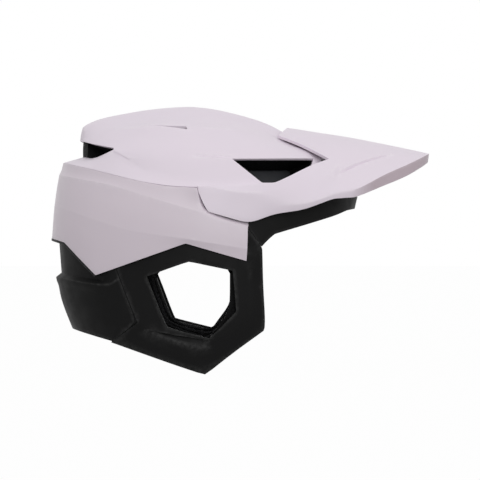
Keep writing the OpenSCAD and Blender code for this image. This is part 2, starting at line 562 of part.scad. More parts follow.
// Comfort pads, thinner round their edges
module pad_patch(cols, t) {
    p = flat_points(cols);
    rows = len(cols[0]);
    faces = grid_faces(len(cols), rows);
    full = inward(p, faces, t);
    last = len(cols) - 1;
    quilt(p, [for (k = [0:len(p) - 1])
        let (i = floor(k / rows), j = k % rows, edge = i == 0 || i == last || j == 0 || j == rows - 1)
        edge ? mix(p[k], full[k], 0.45) : full[k]], faces);
}
band_gap = slip_gap + slip_t + 1.2;
band_t = 1.2;
pad_gap = band_gap + band_t + 1;
crown_pad_gap = slip_gap + slip_t + 2.2;
side_pad_gap = slip_gap + slip_t + 1.7;
module brow_pad() {
    cols = [for (a = [60:-15:-60]) [for (k = [0:4]) head_wall(a, brow_z(a) + 6 * k, pad_gap)]];
    color([0.09, 0.09, 0.1]) pad_patch(cols, pad_t);
}
module crown_pad() {
    cols = [for (d = [-44:11:22]) [for (y = [-26, -16, -5, 5, 16, 26])
        let (g = crown_pad_gap, x = head_mid[0] + d,
            s = pow((x - head_mid[0]) / (head_half_len - g), 2) + pow(y / (head_half_w - g), 2))
        [x, y, head_mid[2] + (head_rise - g) * sqrt(1 - s)]]];
    color([0.09, 0.09, 0.1]) pad_patch(cols, pad_t);
}
module side_pads() {
    cols = [for (a = [105, 98, 90, 82, 75])
        [for (f = [0.27, 0.36, 0.46, 0.55]) head_wall(a, head_mid[2] + f * head_rise, side_pad_gap)]];
    color([0.09, 0.09, 0.1]) {
        pad_patch(cols, pad_t);
        mirror([0, 1, 0]) pad_patch(cols, pad_t);
    }
}
// Ear pads: soft rings round the cheek liners' opening
ear_pad_grow = 1.5;
ear_pad_front = 3;
ear_pad_reach = 10.5;
// In front the pad lies over the chin strap
function ear_pad_seat(x) = 0.8 + 2.6 * smooth((x + 24) / 12);
module ear_pad_right() {
    c = [-43, 68];
    places = [for (i = [0:guard_spokes - 1]) let (e = [cheek_edge[i][0], cheek_edge[i][1]], d = e - c,
        hole = c + d * (1 + ear_pad_grow / norm(d)),
        rim = [min(ear_pad_front, guard_crease[i][0]), guard_crease[i][1]],
        out = hole + (rim - hole) * min(1, ear_pad_reach / norm(rim - hole)))
        each [hole, mix(hole, out, 0.5), out]];
    outer = [for (q = places) head_side(q[0], q[1], ear_pad_seat(q[0]))];
    inner = [for (k = [0:len(places) - 1]) let (q = places[k])
        head_side(q[0], q[1], ear_pad_seat(q[0]) + (k % 3 == 1 ? pad_t : 0.55 * pad_t))];
    color([0.09, 0.09, 0.1]) quilt(outer, inner, ring_quads(guard_spokes, 3));
}
module ear_pad_left() { mirror([0, 1, 0]) ear_pad_right(); }

// Fit system: a band round the head, and at the nape a cradle that a dial draws forward
module fit_band() {
    cols = [for (a = [135:-15:-135])
        [for (k = [1, 3]) head_wall(a, brow_z(min(abs(a), 90)) + 5 * k, band_gap)]];
    color([0.16, 0.16, 0.17]) wall_patch(cols, band_t);
}
// The guide rail: its lower and upper end, the place of its back, its half width and its lips
rail_low = 128;
rail_high = head_mid[2] + 0.176 * head_rise;
rail_x = 0.4 - head_rear;
rail_half = 11;
rail_back = 1.5;
lip_w = 4;
lip_h = 4.6;
module cradle_guide() {
    long = rail_high - rail_low;
    color([0.2, 0.2, 0.21]) {
        translate([rail_x, -rail_half, rail_low]) cube([rail_back, 2 * rail_half, long]);
        for (s = [-1, 1]) translate([rail_x, s * (rail_half - lip_w / 2) - lip_w / 2, rail_low])
            cube([lip_h, lip_w, long]);
    }
}
// The carrier: a strip that runs between the lips, and a block whose bores guide the cradle's rods
carrier_x = rail_x + 2.2;
carrier_low = 98;
strip = [2, 12, 49];
block = [12.5, 36, 12];
block_x = -7 - head_rear;
runner_y = 13;
runner_z = 104;
runner_r = 2.5;
runner_play = 0.08;
module carrier() {
    color([0.22, 0.22, 0.23]) difference() {
        union() {
            translate([carrier_x, -strip[1] / 2, carrier_low]) cube(strip);
            translate([block_x, -block[1] / 2, carrier_low]) cube(block);
        }
        for (s = [-1, 1]) translate([block_x - 3, s * runner_y, runner_z]) rotate([0, 90, 0])
            cylinder(r = runner_r + runner_play, h = 20, $fn = 32);
    }
}
runner_len = 18.6;
// Height of the cradle's rows and how far each lies inside the head space
cradle_rows = [[72, 14], [84, 11], [98, 9], [112, 8], [124, 8]];
cradle_step = 9.5;
cradle_t = 2.4;
module cradle() {
    cols = [for (i = [0:8]) [for (r = cradle_rows) head_wall(218 - cradle_step * i, r[0], r[1])]];
    p = flat_points(cols);
    faces = grid_faces(9, 5, [[1, 1], [1, 2], [6, 1], [6, 2]]);
    color([0.18, 0.18, 0.19]) {
        quilt(p, inward(p, grid_faces(9, 5), cradle_t), faces);
        for (s = [-1, 1]) translate([block_x + 1, s * runner_y, runner_z]) rotate([0, 90, 0])
            cylinder(r = runner_r, h = runner_len, $fn = 32);
    }
}
module cradle_pads() {
    cols = [for (a = [205, 200, 195, 190]) [for (z = [86, 93, 100, 107]) head_wall(a, z, 14.3)]];
    color([0.09, 0.09, 0.1]) {
        pad_patch(cols, 4);
        mirror([0, 1, 0]) pad_patch(cols, 4);
    }
}
// The dial's axis and size, and the housing round its shaft
dial_z = 80;
dial_r = 13;
dial_h = 11;
dial_play = 0.08;
shaft_r = 4;
shaft_len = 13;
housing_x = -5 - head_rear;
housing_r = 12;
housing_t = 16;
housing_half = 14;
module dial_housing() {
    color([0.16, 0.16, 0.17]) difference() {
        translate([housing_x, 0, dial_z]) rotate([0, 90, 0]) union() {
            translate([-housing_r, -housing_half, 0]) cube([2 * housing_r, 2 * housing_half, housing_t]);
            for (s = [-1, 1]) translate([0, s * housing_half, 0])
                cylinder(r = housing_r, h = housing_t, $fn = 48);
        }
        translate([housing_x - 15, 0, dial_z]) rotate([0, 90, 0])
            cylinder(r = shaft_r + dial_play, h = 40, $fn = 48);
    }
}
flutes = 20;
flute_depth = 0.7;
dial_clear = 0.3;
module fit_dial() {
    color([0.3, 0.3, 0.31]) translate([housing_x - dial_clear, 0, dial_z]) rotate([0, -90, 0]) {
        linear_extrude(height = dial_h)
            polygon([for (k = [0:flutes * 6 - 1]) let (a = k * 60 / flutes)
                (dial_r - flute_depth * (1 - cos(a * flutes)) / 2) * [cos(a), sin(a)]]);
        translate([0, 0, -shaft_len]) cylinder(r = shaft_r, h = shaft_len, $fn = 48);
    }
}
// Flexible ties from the ends of the band to the dial housing
tie_half = 4.5;
tie_t = 1.2;
tie_gap = band_gap + band_t + 1.3;
module tie_right() {
    cols = [for (k = [8:-1:0])
        let (f = k / 8, a = mix(132, 160, f), z = mix(head_mid[2], dial_z + 2, smooth(f)))
        [head_wall(a, z - tie_half, tie_gap), head_wall(a, z + tie_half, tie_gap)]];
    color([0.14, 0.14, 0.15]) wall_patch(cols, tie_t);
}
module tie_left() { mirror([0, 1, 0]) tie_right(); }

// Chin strap: stations of its middle line from the cheek liner to the buckle, as x, y, z
strap_half = 10;
strap_t = 1.8;
strap_high = [100, 88, 76, 63, 51.5];
// Its lower stations: x, share of the way in from the divider to the buckle, z
strap_low = [[5.5, 0, 41], [-6, 0.31, 30.5], [-18, 0.68, 23.5], [-26, 1, 20.7]];
divider_y = head_half_w - 14;
strap_end = 20.5;
function strap_column(d) = concat(
    [for (z = strap_high) head_side(8.5 + d, z, 0.9)],
    [for (s = strap_low) [s[0] + d, -mix(divider_y, strap_end, s[1]), s[2]]]);
module chin_strap_right() {
    cols = [for (d = [strap_half, 0, -strap_half]) strap_column(d)];
    color([0.1, 0.1, 0.11]) wall_patch(cols, strap_t);
}
module chin_strap_left() { mirror([0, 1, 0]) chin_strap_right(); }
// Rear webbing, from the nape along the foot of the cheek liner to the divider
rear_half = 6.5;
rear_t = 1.5;
rear_seat = 1.9;
rear_line = [[-88, 34], [-74, 27], [-58, 20], [-40, 15.5], [-24, 17.5], [-10, 25.5], [1, 37]];
module rear_strap_right() {
    cols = [for (q = rear_line) [for (d = [-rear_half, rear_half]) head_side(q[0], q[1] + d, rear_seat)]];
    color([0.1, 0.1, 0.11]) wall_patch(cols, rear_t);
}
module rear_strap_left() { mirror([0, 1, 0]) rear_strap_right(); }
// Dividers that join the two webbings under the ear
divider = [17, 3, 11];
divider_foot = [-3, -divider[1] / 2, 34.5];
module strap_dividers() {
    color([0.16, 0.16, 0.17]) for (s = [-1, 1])
        translate(divider_foot + [0, s * divider_y, 0]) cube(divider);
}
module strap_anchors() {
    color([0.25, 0.25, 0.26]) for (s = [-1, 1], q = [[10.5, 97], [-84, 33]]) {
        foot = head_side(q[0], q[1], 2.9);
        translate([foot[0], s * -foot[1], q[1]]) rotate([s * 90, 0, 0]) {
            cylinder(r = 6, h = 2, $fn = 32);
            translate([0, 0, -10]) cylinder(r = 2.5, h = 11, $fn = 24);
        }
    }
}
// Buckle at the chin
buckle_x = -27;
buckle_z = 20;
socket = [26, 24, 9];
mouth = [20.4, 30, 4.4];
prong = [5, 17, 3.6];
grip = [24, 14, 8];
module buckle_socket() {
    color([0.12, 0.12, 0.13]) translate([buckle_x, 0, buckle_z]) difference() {
        translate([-socket[0] / 2, -20, -socket[2] / 2]) cube(socket);
        translate([-mouth[0] / 2, -14, -mouth[2] / 2]) cube(mouth);
    }
}
module buckle_tongue() {
    color([0.14, 0.14, 0.15]) translate([buckle_x, 0, buckle_z]) {
        for (x = [-9.8, 4.8]) translate([x, -12, -prong[2] / 2]) cube(prong);
        translate([-grip[0] / 2, 4.6, -grip[2] / 2]) cube(grip);
    }
}
// Pegs that fix the peak's arms to the frame
peg = [20, wall_half - 7, 155];
peg_r = 4;
peg_len = 8.6;
module peak_pegs() {
    color([0.2, 0.2, 0.2]) for (s = [-1, 1]) translate([peg[0], s * peg[1], peg[2]]) rotate([90, 0, 0])
        cylinder(r = peg_r, h = peg_len, center = true, $fn = 32);
}

crown_shell();
side_shell();
brow_frame();
guard_right();
guard_left();
rear_guard();
peak();
peak_pegs();
liner_crown();
liner_rear();
liner_brow();
liner_cheek_right();
liner_cheek_left();
liner_neck();
slip_liner();
slip_anchors();
brow_pad();
crown_pad();
side_pads();
ear_pad_right();
ear_pad_left();
fit_band();
cradle_guide();
carrier();
cradle();
cradle_pads();
dial_housing();
fit_dial();
tie_right();
tie_left();
chin_strap_right();
chin_strap_left();
rear_strap_right();
rear_strap_left();
strap_dividers();
strap_anchors();
buckle_socket();
buckle_tongue();
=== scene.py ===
"""Trail helmet with full ear cover and a fixed peak: its looks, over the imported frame.

Metres, in the frame of the part: +X forward, +Y to the wearer's left, +Z up.
"""

import logging
import math
from collections.abc import Callable, Sequence
from dataclasses import dataclass, field
from enum import Enum

import bmesh
import bpy
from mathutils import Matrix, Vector


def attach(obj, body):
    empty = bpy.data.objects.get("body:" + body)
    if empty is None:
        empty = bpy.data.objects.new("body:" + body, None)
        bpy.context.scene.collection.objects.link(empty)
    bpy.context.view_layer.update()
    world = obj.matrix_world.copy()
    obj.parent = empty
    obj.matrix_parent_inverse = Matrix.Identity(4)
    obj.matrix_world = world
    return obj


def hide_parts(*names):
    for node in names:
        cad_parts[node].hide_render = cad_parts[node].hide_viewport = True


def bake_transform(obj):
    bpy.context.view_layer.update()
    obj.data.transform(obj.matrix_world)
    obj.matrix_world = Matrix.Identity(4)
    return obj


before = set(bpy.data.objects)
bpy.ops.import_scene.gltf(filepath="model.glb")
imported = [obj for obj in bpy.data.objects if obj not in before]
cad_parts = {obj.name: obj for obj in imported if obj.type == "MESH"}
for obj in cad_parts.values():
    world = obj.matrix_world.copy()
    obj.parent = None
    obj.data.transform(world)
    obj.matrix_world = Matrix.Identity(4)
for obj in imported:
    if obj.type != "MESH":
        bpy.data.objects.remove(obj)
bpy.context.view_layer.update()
log = logging.getLogger("helmet")

MM = 0.001
# A distance in metres that lies beyond the helmet on every side
FAR = 1.0
# The folds in degrees where the wear and painted highlight of an edge begin and where they are full
WEAR_AND_HIGHLIGHT_START = 4.0
WEAR_AND_HIGHLIGHT_FULL = 22.0
# The least crease of an edge that may be marked sharp
SHARP_CREASE = 0.3
# The distance at which a cut takes up a point instead of making a new one
CUT_REACH = 0.00002

Colour = tuple[float, float, float]
Place = tuple[float, float, float]
Range = tuple[float, float]
Line = tuple[Range, ...]
FaceTest = Callable[[Vector, Vector], bool]
PointTest = Callable[[Vector], bool]
Measure = Callable[[Vector], float]
Piece = bpy.types.Object
Material = bpy.types.Material
Socket = bpy.types.NodeSocket


class Body(Enum):
    """The moving bodies of the helmet."""

    HELMET = "helmet"
    CARRIER = "carrier"
    CRADLE = "cradle"
    DIAL = "dial"
    TONGUE = "tongue"


class Slot(Enum):
    """The record's material slots."""

    PALE_CROWN = "pale_crown"
    PALE_SIDE = "pale_side"
    BLACK_SHELL = "black_shell"
    BLACK_FOAM = "black_foam"
    GREY_SLIP = "grey_slip"
    SOFT_PLUG = "soft_plug"
    PAD_FABRIC = "pad_fabric"
    FIT_NYLON = "fit_nylon"
    DIAL_RUBBER = "dial_rubber"
    WEBBING = "webbing"
    FITTING_NYLON = "fitting_nylon"


# Places and drawn lines


def unit(value: float) -> float:
    """Holds a value between 0 and 1."""
    return min(1.0, max(0.0, value))


def share_between(value: float, span: Range) -> float:
    """Says how far a value has come from a span's start to its end, from 0 to 1."""
    return unit((value - span[0]) / (span[1] - span[0]))


def height_on(line: Line, x: float) -> float:
    """Gives the height of a drawn line at an x.

    Args:
        line: The line's points as x and height.
        x: The place.

    Returns:
        The height, level past the line's ends.
    """
    if x <= line[0][0]:
        return line[0][1]
    for start, end in zip(line, line[1:]):
        if x <= end[0]:
            return start[1] + (end[1] - start[1]) * (x - start[0]) / (end[0] - start[0])
    return line[-1][1]


@dataclass(frozen=True)
class Zone:
    """A box of the helmet, whose second range counts outwards from the middle plane."""

    x: Range = (-FAR, FAR)
    out: Range = (-FAR, FAR)
    z: Range = (-FAR, FAR)

    def holds(self, point: Vector, side: int = 0) -> bool:
        """Says if a point lies in the zone.

        Args:
            point: The point.
            side: 1 for the right side alone, -1 for the left side alone, 0 for both.

        Returns:
            Whether the zone holds the point.
        """
        out = -side * point.y if side else abs(point.y)
        pairs = ((point.x, self.x), (out, self.out), (point.z, self.z))
        return all(low < value < high for value, (low, high) in pairs)


@dataclass(frozen=True)
class Nudge:
    """A small move, in millimetres, of the points at one place of the side view."""

    x: float
    z: float
    along: float
    up: float
    out: float = 0.0


# Handling of pieces on the bench


def put_down() -> None:
    """Leaves edit mode and deselects every object."""
    if bpy.context.object and bpy.context.object.mode != "OBJECT":
        bpy.ops.object.mode_set(mode="OBJECT")
    bpy.ops.object.select_all(action="DESELECT")


def pick_up(*pieces: Piece) -> None:
    """Selects only the given pieces and makes the first one active.

    Args:
        pieces: The pieces to select.
    """
    put_down()
    for piece in pieces:
        piece.select_set(True)
    bpy.context.view_layer.objects.active = pieces[0]


def open_up(piece: Piece, kind: str = "FACE", whole: bool = False) -> None:
    """Enters edit mode on a piece.

    Args:
        piece: The piece to edit.
        kind: The select mode, VERT, EDGE or FACE.
        whole: Whether all of it is selected, and not nothing.
    """
    pick_up(piece)
    bpy.ops.object.mode_set(mode="EDIT")
    bpy.ops.mesh.select_mode(type=kind)
    bpy.ops.mesh.select_all(action="SELECT" if whole else "DESELECT")


def close_up() -> None:
    """Leaves edit mode."""
    bpy.ops.object.mode_set(mode="OBJECT")


def choose_faces(piece: Piece, test: FaceTest) -> None:
    """Selects the faces of a piece in edit mode by their place and normal.

    Args:
        piece: The piece in edit mode.
        test: Takes a face's centre and normal and says if it is wanted.
    """
    mesh = bmesh.from_edit_mesh(piece.data)
    for face in mesh.faces:
        face.select_set(test(face.calc_center_median(), face.normal))
    bmesh.update_edit_mesh(piece.data)
    log.info("%s: %d faces chosen", piece.name, sum(face.select for face in mesh.faces))


def choose_edges(piece: Piece, test: PointTest, crease: float | None = None) -> None:
    """Opens a piece and selects the edges whose two ends pass a test.

    Args:
        piece: The piece.
        test: Takes a point and says if it lies on the line.
        crease: The crease that a wanted edge has to exceed, or None for any edge.
    """
    open_up(piece, "EDGE")
    mesh = bmesh.from_edit_mesh(piece.data)
    layer = mesh.edges.layers.float.get("crease_edge")
    chosen = 0
    for edge in mesh.edges:
        wanted = all(test(vertex.co) for vertex in edge.verts)
        if crease is not None:
            wanted = wanted and bool(layer) and edge[layer] > crease
        edge.select_set(wanted)
        chosen += wanted
    bmesh.update_edit_mesh(piece.data)
    log.info("%s: %d edges chosen", piece.name, chosen)


def copy_node(node: str, name: str, quads: bool = True) -> Piece:
    """Copies a CAD node's mesh as a new piece, with its doubles merged.

    Args:
        node: The CAD node.
        name: The new piece's name.
        quads: Whether pairs of triangles are joined.

    Returns:
        The new piece, at the origin.
    """
    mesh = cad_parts[node].data.copy()
    mesh.name = name
    mesh.materials.clear()
    piece = bpy.data.objects.new(name, mesh)
    bpy.context.scene.collection.objects.link(piece)
    open_up(piece, "VERT", whole=True)
    bpy.ops.mesh.remove_doubles(threshold=0.01 * MM)
    if quads:
        bpy.ops.mesh.select_mode(type="FACE")
        bpy.ops.mesh.tris_convert_to_quads(
            face_threshold=math.radians(55), shape_threshold=math.radians(75))
    close_up()
    return piece


def copy_piece(piece: Piece, name: str, shift: Place) -> Piece:
    """Copies a piece with its own mesh.

    Args:
        piece: The piece at the origin.
        name: The copy's name.
        shift: How far the copy is moved.

    Returns:
        The copy.
    """
    copy = piece.copy()
    copy.data = piece.data.copy()
    copy.name = copy.data.name = name
    bpy.context.scene.collection.objects.link(copy)
    for vertex in copy.data.vertices:
        vertex.co += Vector(shift)
    return copy


def gather(pieces: Sequence[Piece], name: str) -> Piece:
    """Joins pieces into one.

    Args:
        pieces: The pieces to join.
        name: The name of the joined piece.

    Returns:
        The joined piece.
    """
    pick_up(*pieces)
    bpy.ops.object.join()
    pieces[0].name = name
    return pieces[0]


def settle(piece: Piece) -> None:
    """Brings a piece's place into its mesh, so that its object is at the origin."""
    pick_up(piece)
    bpy.ops.object.transform_apply(location=True, rotation=True, scale=True)


def start_disc(steps: int, radius: float, height: float, place: Place, lying: bool) -> Piece:
    """Starts a round piece from a cylinder at its size and place.

    Args:
        steps: The number of its sides.
        radius: Its radius.
        height: Its height.
        place: Its middle.
        lying: Whether its axis points forward, and not up.

    Returns:
        The cylinder, still to be shaped.
    """
    put_down()
    bpy.ops.mesh.primitive_cylinder_add(
        vertices=steps, radius=radius, depth=height, end_fill_type="NGON",
        location=place, rotation=(0, math.radians(90) if lying else 0, 0))
    piece = bpy.context.object
    settle(piece)
    return piece


def press_rings(piece: Piece, rings: Line) -> None:
    """Presses rings into the rear face of a round piece.

    Args:
        piece: The piece.
        rings: The width and the depth of each ring in millimetres, from the rim inwards.
    """
    open_up(piece)
    choose_faces(piece, lambda centre, normal: normal.x < -0.9)
    for width, depth in rings:
        bpy.ops.mesh.inset(thickness=width * MM, depth=depth * MM)
    close_up()


def tapered_bar(place: Place, size: Place, end: FaceTest, taper: Place, width: float, steps: int) -> Piece:
    """Makes a small bar that is narrower at one face, with rounded edges.

    Args:
        place: Its middle.
        size: Its size.
        end: Says which face is narrower.
        taper: The factors by which that face is scaled.
        width: The width of the rounding.
        steps: The number of steps across the rounding.

    Returns:
        The bar.
    """
    put_down()
    bpy.ops.mesh.primitive_cube_add(size=1, location=place, scale=size)
    piece = bpy.context.object
    settle(piece)
    open_up(piece)
    choose_faces(piece, end)
    bpy.ops.transform.resize(value=taper)
    close_up()
    round_edges(piece, width, steps, 30.0)
    return piece


# Shaping


def work(piece: Piece, kind: str, **settings: object) -> None:
    """Adds a modifier to a piece and applies it.

    Args:
        piece: The piece.
        kind: The modifier's type.
        settings: Its settings by name.
    """
    pick_up(piece)
    modifier = piece.modifiers.new(kind.lower(), kind)
    for key, value in settings.items():
        setattr(modifier, key, value)
    bpy.ops.object.modifier_apply(modifier=modifier.name)


def round_edges(piece: Piece, width: float, steps: int, angle: float) -> None:
    """Rounds the sharp edges of a piece.

    Args:
        piece: The piece.
        width: The width of the rounding in metres.
        steps: The number of steps across it.
        angle: The least fold that is rounded, in degrees.
    """
    work(piece, "BEVEL", width=width, segments=steps, limit_method="ANGLE",
         angle_limit=math.radians(angle), use_clamp_overlap=True, miter_outer="MITER_SHARP")


def soften(piece: Piece, levels: int) -> None:
    """Subdivides a piece into a smooth surface."""
    work(piece, "SUBSURF", levels=levels, render_levels=levels)


def smooth(piece: Piece, angle: float | None = None) -> None:
    """Shades a piece smooth, or only where it folds by less than an angle.

    Args:
        piece: The piece.
        angle: The greatest smooth fold in degrees, or None for all.
    """
    pick_up(piece)
    if angle is None:
        bpy.ops.object.shade_smooth()
    else:
        bpy.ops.object.shade_smooth_by_angle(angle=math.radians(angle))


def merge_flats(piece: Piece) -> None:
    """Merges the triangles of each flat face of a piece.

    Args:
        piece: The piece.
    """
    open_up(piece, whole=True)
    bpy.ops.mesh.dissolve_limited(angle_limit=math.radians(1))
    close_up()


def crease_folds(piece: Piece, angle: float, amount: float) -> None:
    """Creases the edges that fold by more than an angle.

    Args:
        piece: The piece.
        angle: The least fold in degrees.
        amount: The crease, from 0 to 1.
    """
    open_up(piece, "EDGE")
    bpy.ops.mesh.edges_select_sharp(sharpness=math.radians(angle))
    bpy.ops.transform.edge_crease(value=amount)
    close_up()


def crease_line(piece: Piece, test: PointTest, amount: float) -> None:
    """Creases the edges on a line.

    Args:
        piece: The piece.
        test: Takes a point and says if it lies on the line.
        amount: The crease, from 0 to 1.
    """
    choose_edges(piece, test)
    bpy.ops.transform.edge_crease(value=amount)
    close_up()


def sharpen_line(piece: Piece, test: PointTest) -> None:
    """Marks the creased edges on a line as sharp, so that it shades as a clean fold.

    Args:
        piece: The softened piece.
        test: Takes a point and says if it lies near the line.
    """
    choose_edges(piece, test, SHARP_CREASE)
    bpy.ops.mesh.mark_sharp()
    close_up()


def nudge(piece: Piece, moves: Sequence[Nudge], reach: float = 1.8) -> None:
    """Moves the points of a piece that stand at given places of the side view.

    Args:
        piece: The piece.
        moves: The moves.
        reach: The greatest distance of a point from its place, in millimetres.
    """
    moved = 0
    for vertex in piece.data.vertices:
        spot = Vector((vertex.co.x / MM, vertex.co.z / MM))
        for move in moves:
            if (spot - Vector((move.x, move.z))).length < reach:
                out = math.copysign(move.out, vertex.co.y)
                vertex.co += Vector((move.along, out, move.up)) * MM
                moved += 1
                break
    log.info("%s: %d points moved", piece.name, moved)


def cut_faces(mesh: bmesh.types.BMesh, near: FaceTest, place: Vector, normal: Vector) -> None:
    """Cuts the faces that pass a test where a plane crosses them.

    Args:
        mesh: The mesh.
        near: Takes a face's centre and normal and says if it may be cut.
        place: A point of the plane.
        normal: The plane's normal.
    """
    faces = [face for face in mesh.faces if near(face.calc_center_median(), face.normal)]
    edges = dict.fromkeys(edge for face in faces for edge in face.edges)
    verts = dict.fromkeys(vert for face in faces for vert in face.verts)
    bmesh.ops.bisect_plane(mesh, geom=[*verts, *edges, *faces], dist=CUT_REACH,
                           plane_co=place, plane_no=normal)


def score(piece: Piece, start: Place, end: Place, width: float, depth: float, near: FaceTest) -> None:
    """Presses a groove into a piece along a line.

    Args:
        piece: The piece.
        start: The point where the groove starts.
        end: The point where it ends.
        width: The groove's half width in metres.
        depth: Its depth in metres, which runs out towards its ends.
        near: Takes a face's centre and normal and says if the groove may cross it.
    """
    first, step = Vector(start), Vector(end) - Vector(start)
    mesh = bmesh.new()
    mesh.from_mesh(piece.data)
    flat = abs(step.y) < 0.2 * abs(step.x)
    across = step.cross(Vector((0, 1, 0)) if flat else Vector((0, 0, 1))).normalized()
    for offset in (0.0, width, -width):
        cut_faces(mesh, near, first + across * offset, across)
    mesh.normal_update()
    sunk, sides = [], {}
    for vert in mesh.verts:
        if not any(near(face.calc_center_median(), face.normal) for face in vert.link_faces):
            continue
        off = (vert.co - first).dot(across) / width
        share = (vert.co - first).dot(step) / step.length_squared
        if 0 < share < 1 and abs(off) < 1.02:
            fade = min(1.0, 6 * share, 6 * (1 - share)) * max(0.0, 1 - abs(off))
            sunk.append((vert, vert.normal * depth * fade))
            if abs(off - round(off)) < 0.03:
                sides[vert] = round(off)
    # The edges along the groove's rims and its floor stay sharp
    for edge in mesh.edges:
        first_side, second_side = (sides.get(vert) for vert in edge.verts)
        if first_side is not None and first_side == second_side:
            edge.smooth = False
    for vert, move in sunk:
        vert.co -= move
    mesh.to_mesh(piece.data)
    mesh.free()


def store(piece: Piece, name: str, domain: str, values: Sequence[float]) -> None:
    """Stores a value for each point or face of a piece.

    Args:
        piece: The piece.
        name: The attribute's name.
        domain: POINT or FACE.
        values: The values in order.
    """
    layer = piece.data.attributes.new(name, "FLOAT", domain)
    layer.data.foreach_set("value", values)


def hold_corners(piece: Piece, fold: float, turn: float, amount: float) -> None:
    """Holds the corners of a piece's outlines, so that subdivision doesn't round them off.

    Args:
        piece: The piece.
        fold: The least fold in degrees of an edge that belongs to an outline.
        turn: The least turn in degrees of an outline at a corner.
        amount: The hold, from 0 to 1.
    """
    mesh = bmesh.new()
    mesh.from_mesh(piece.data)
    holds = []
    for vertex in mesh.verts:
        rims = [edge for edge in vertex.link_edges if math.degrees(edge.calc_face_angle(0.0)) > fold]
        hold = 0.0
        if len(rims) == 2:
            first, second = (edge.other_vert(vertex).co - vertex.co for edge in rims)
            if 180 - math.degrees(first.angle(second, 0.0)) > turn:
                hold = amount
        holds.append(hold)
    mesh.free()
    store(piece, "crease_vert", "POINT", holds)


def mark_edges(piece: Piece) -> None:
    """Stores how much each point of a piece stands on a fold, for the wear and painted highlight of its
    edges.

    Args:
        piece: The piece.
    """
    mesh = bmesh.new()
    mesh.from_mesh(piece.data)
    shares = []
    for vertex in mesh.verts:
        angles = [math.degrees(edge.calc_face_angle_signed(0.0)) for edge in vertex.link_edges]
        shares.append(share_between(max(angles, default=0.0), (WEAR_AND_HIGHLIGHT_START, WEAR_AND_HIGHLIGHT_FULL)))
    mesh.free()
    store(piece, "edge_wear_and_highlight", "POINT", shares)


# Finishes


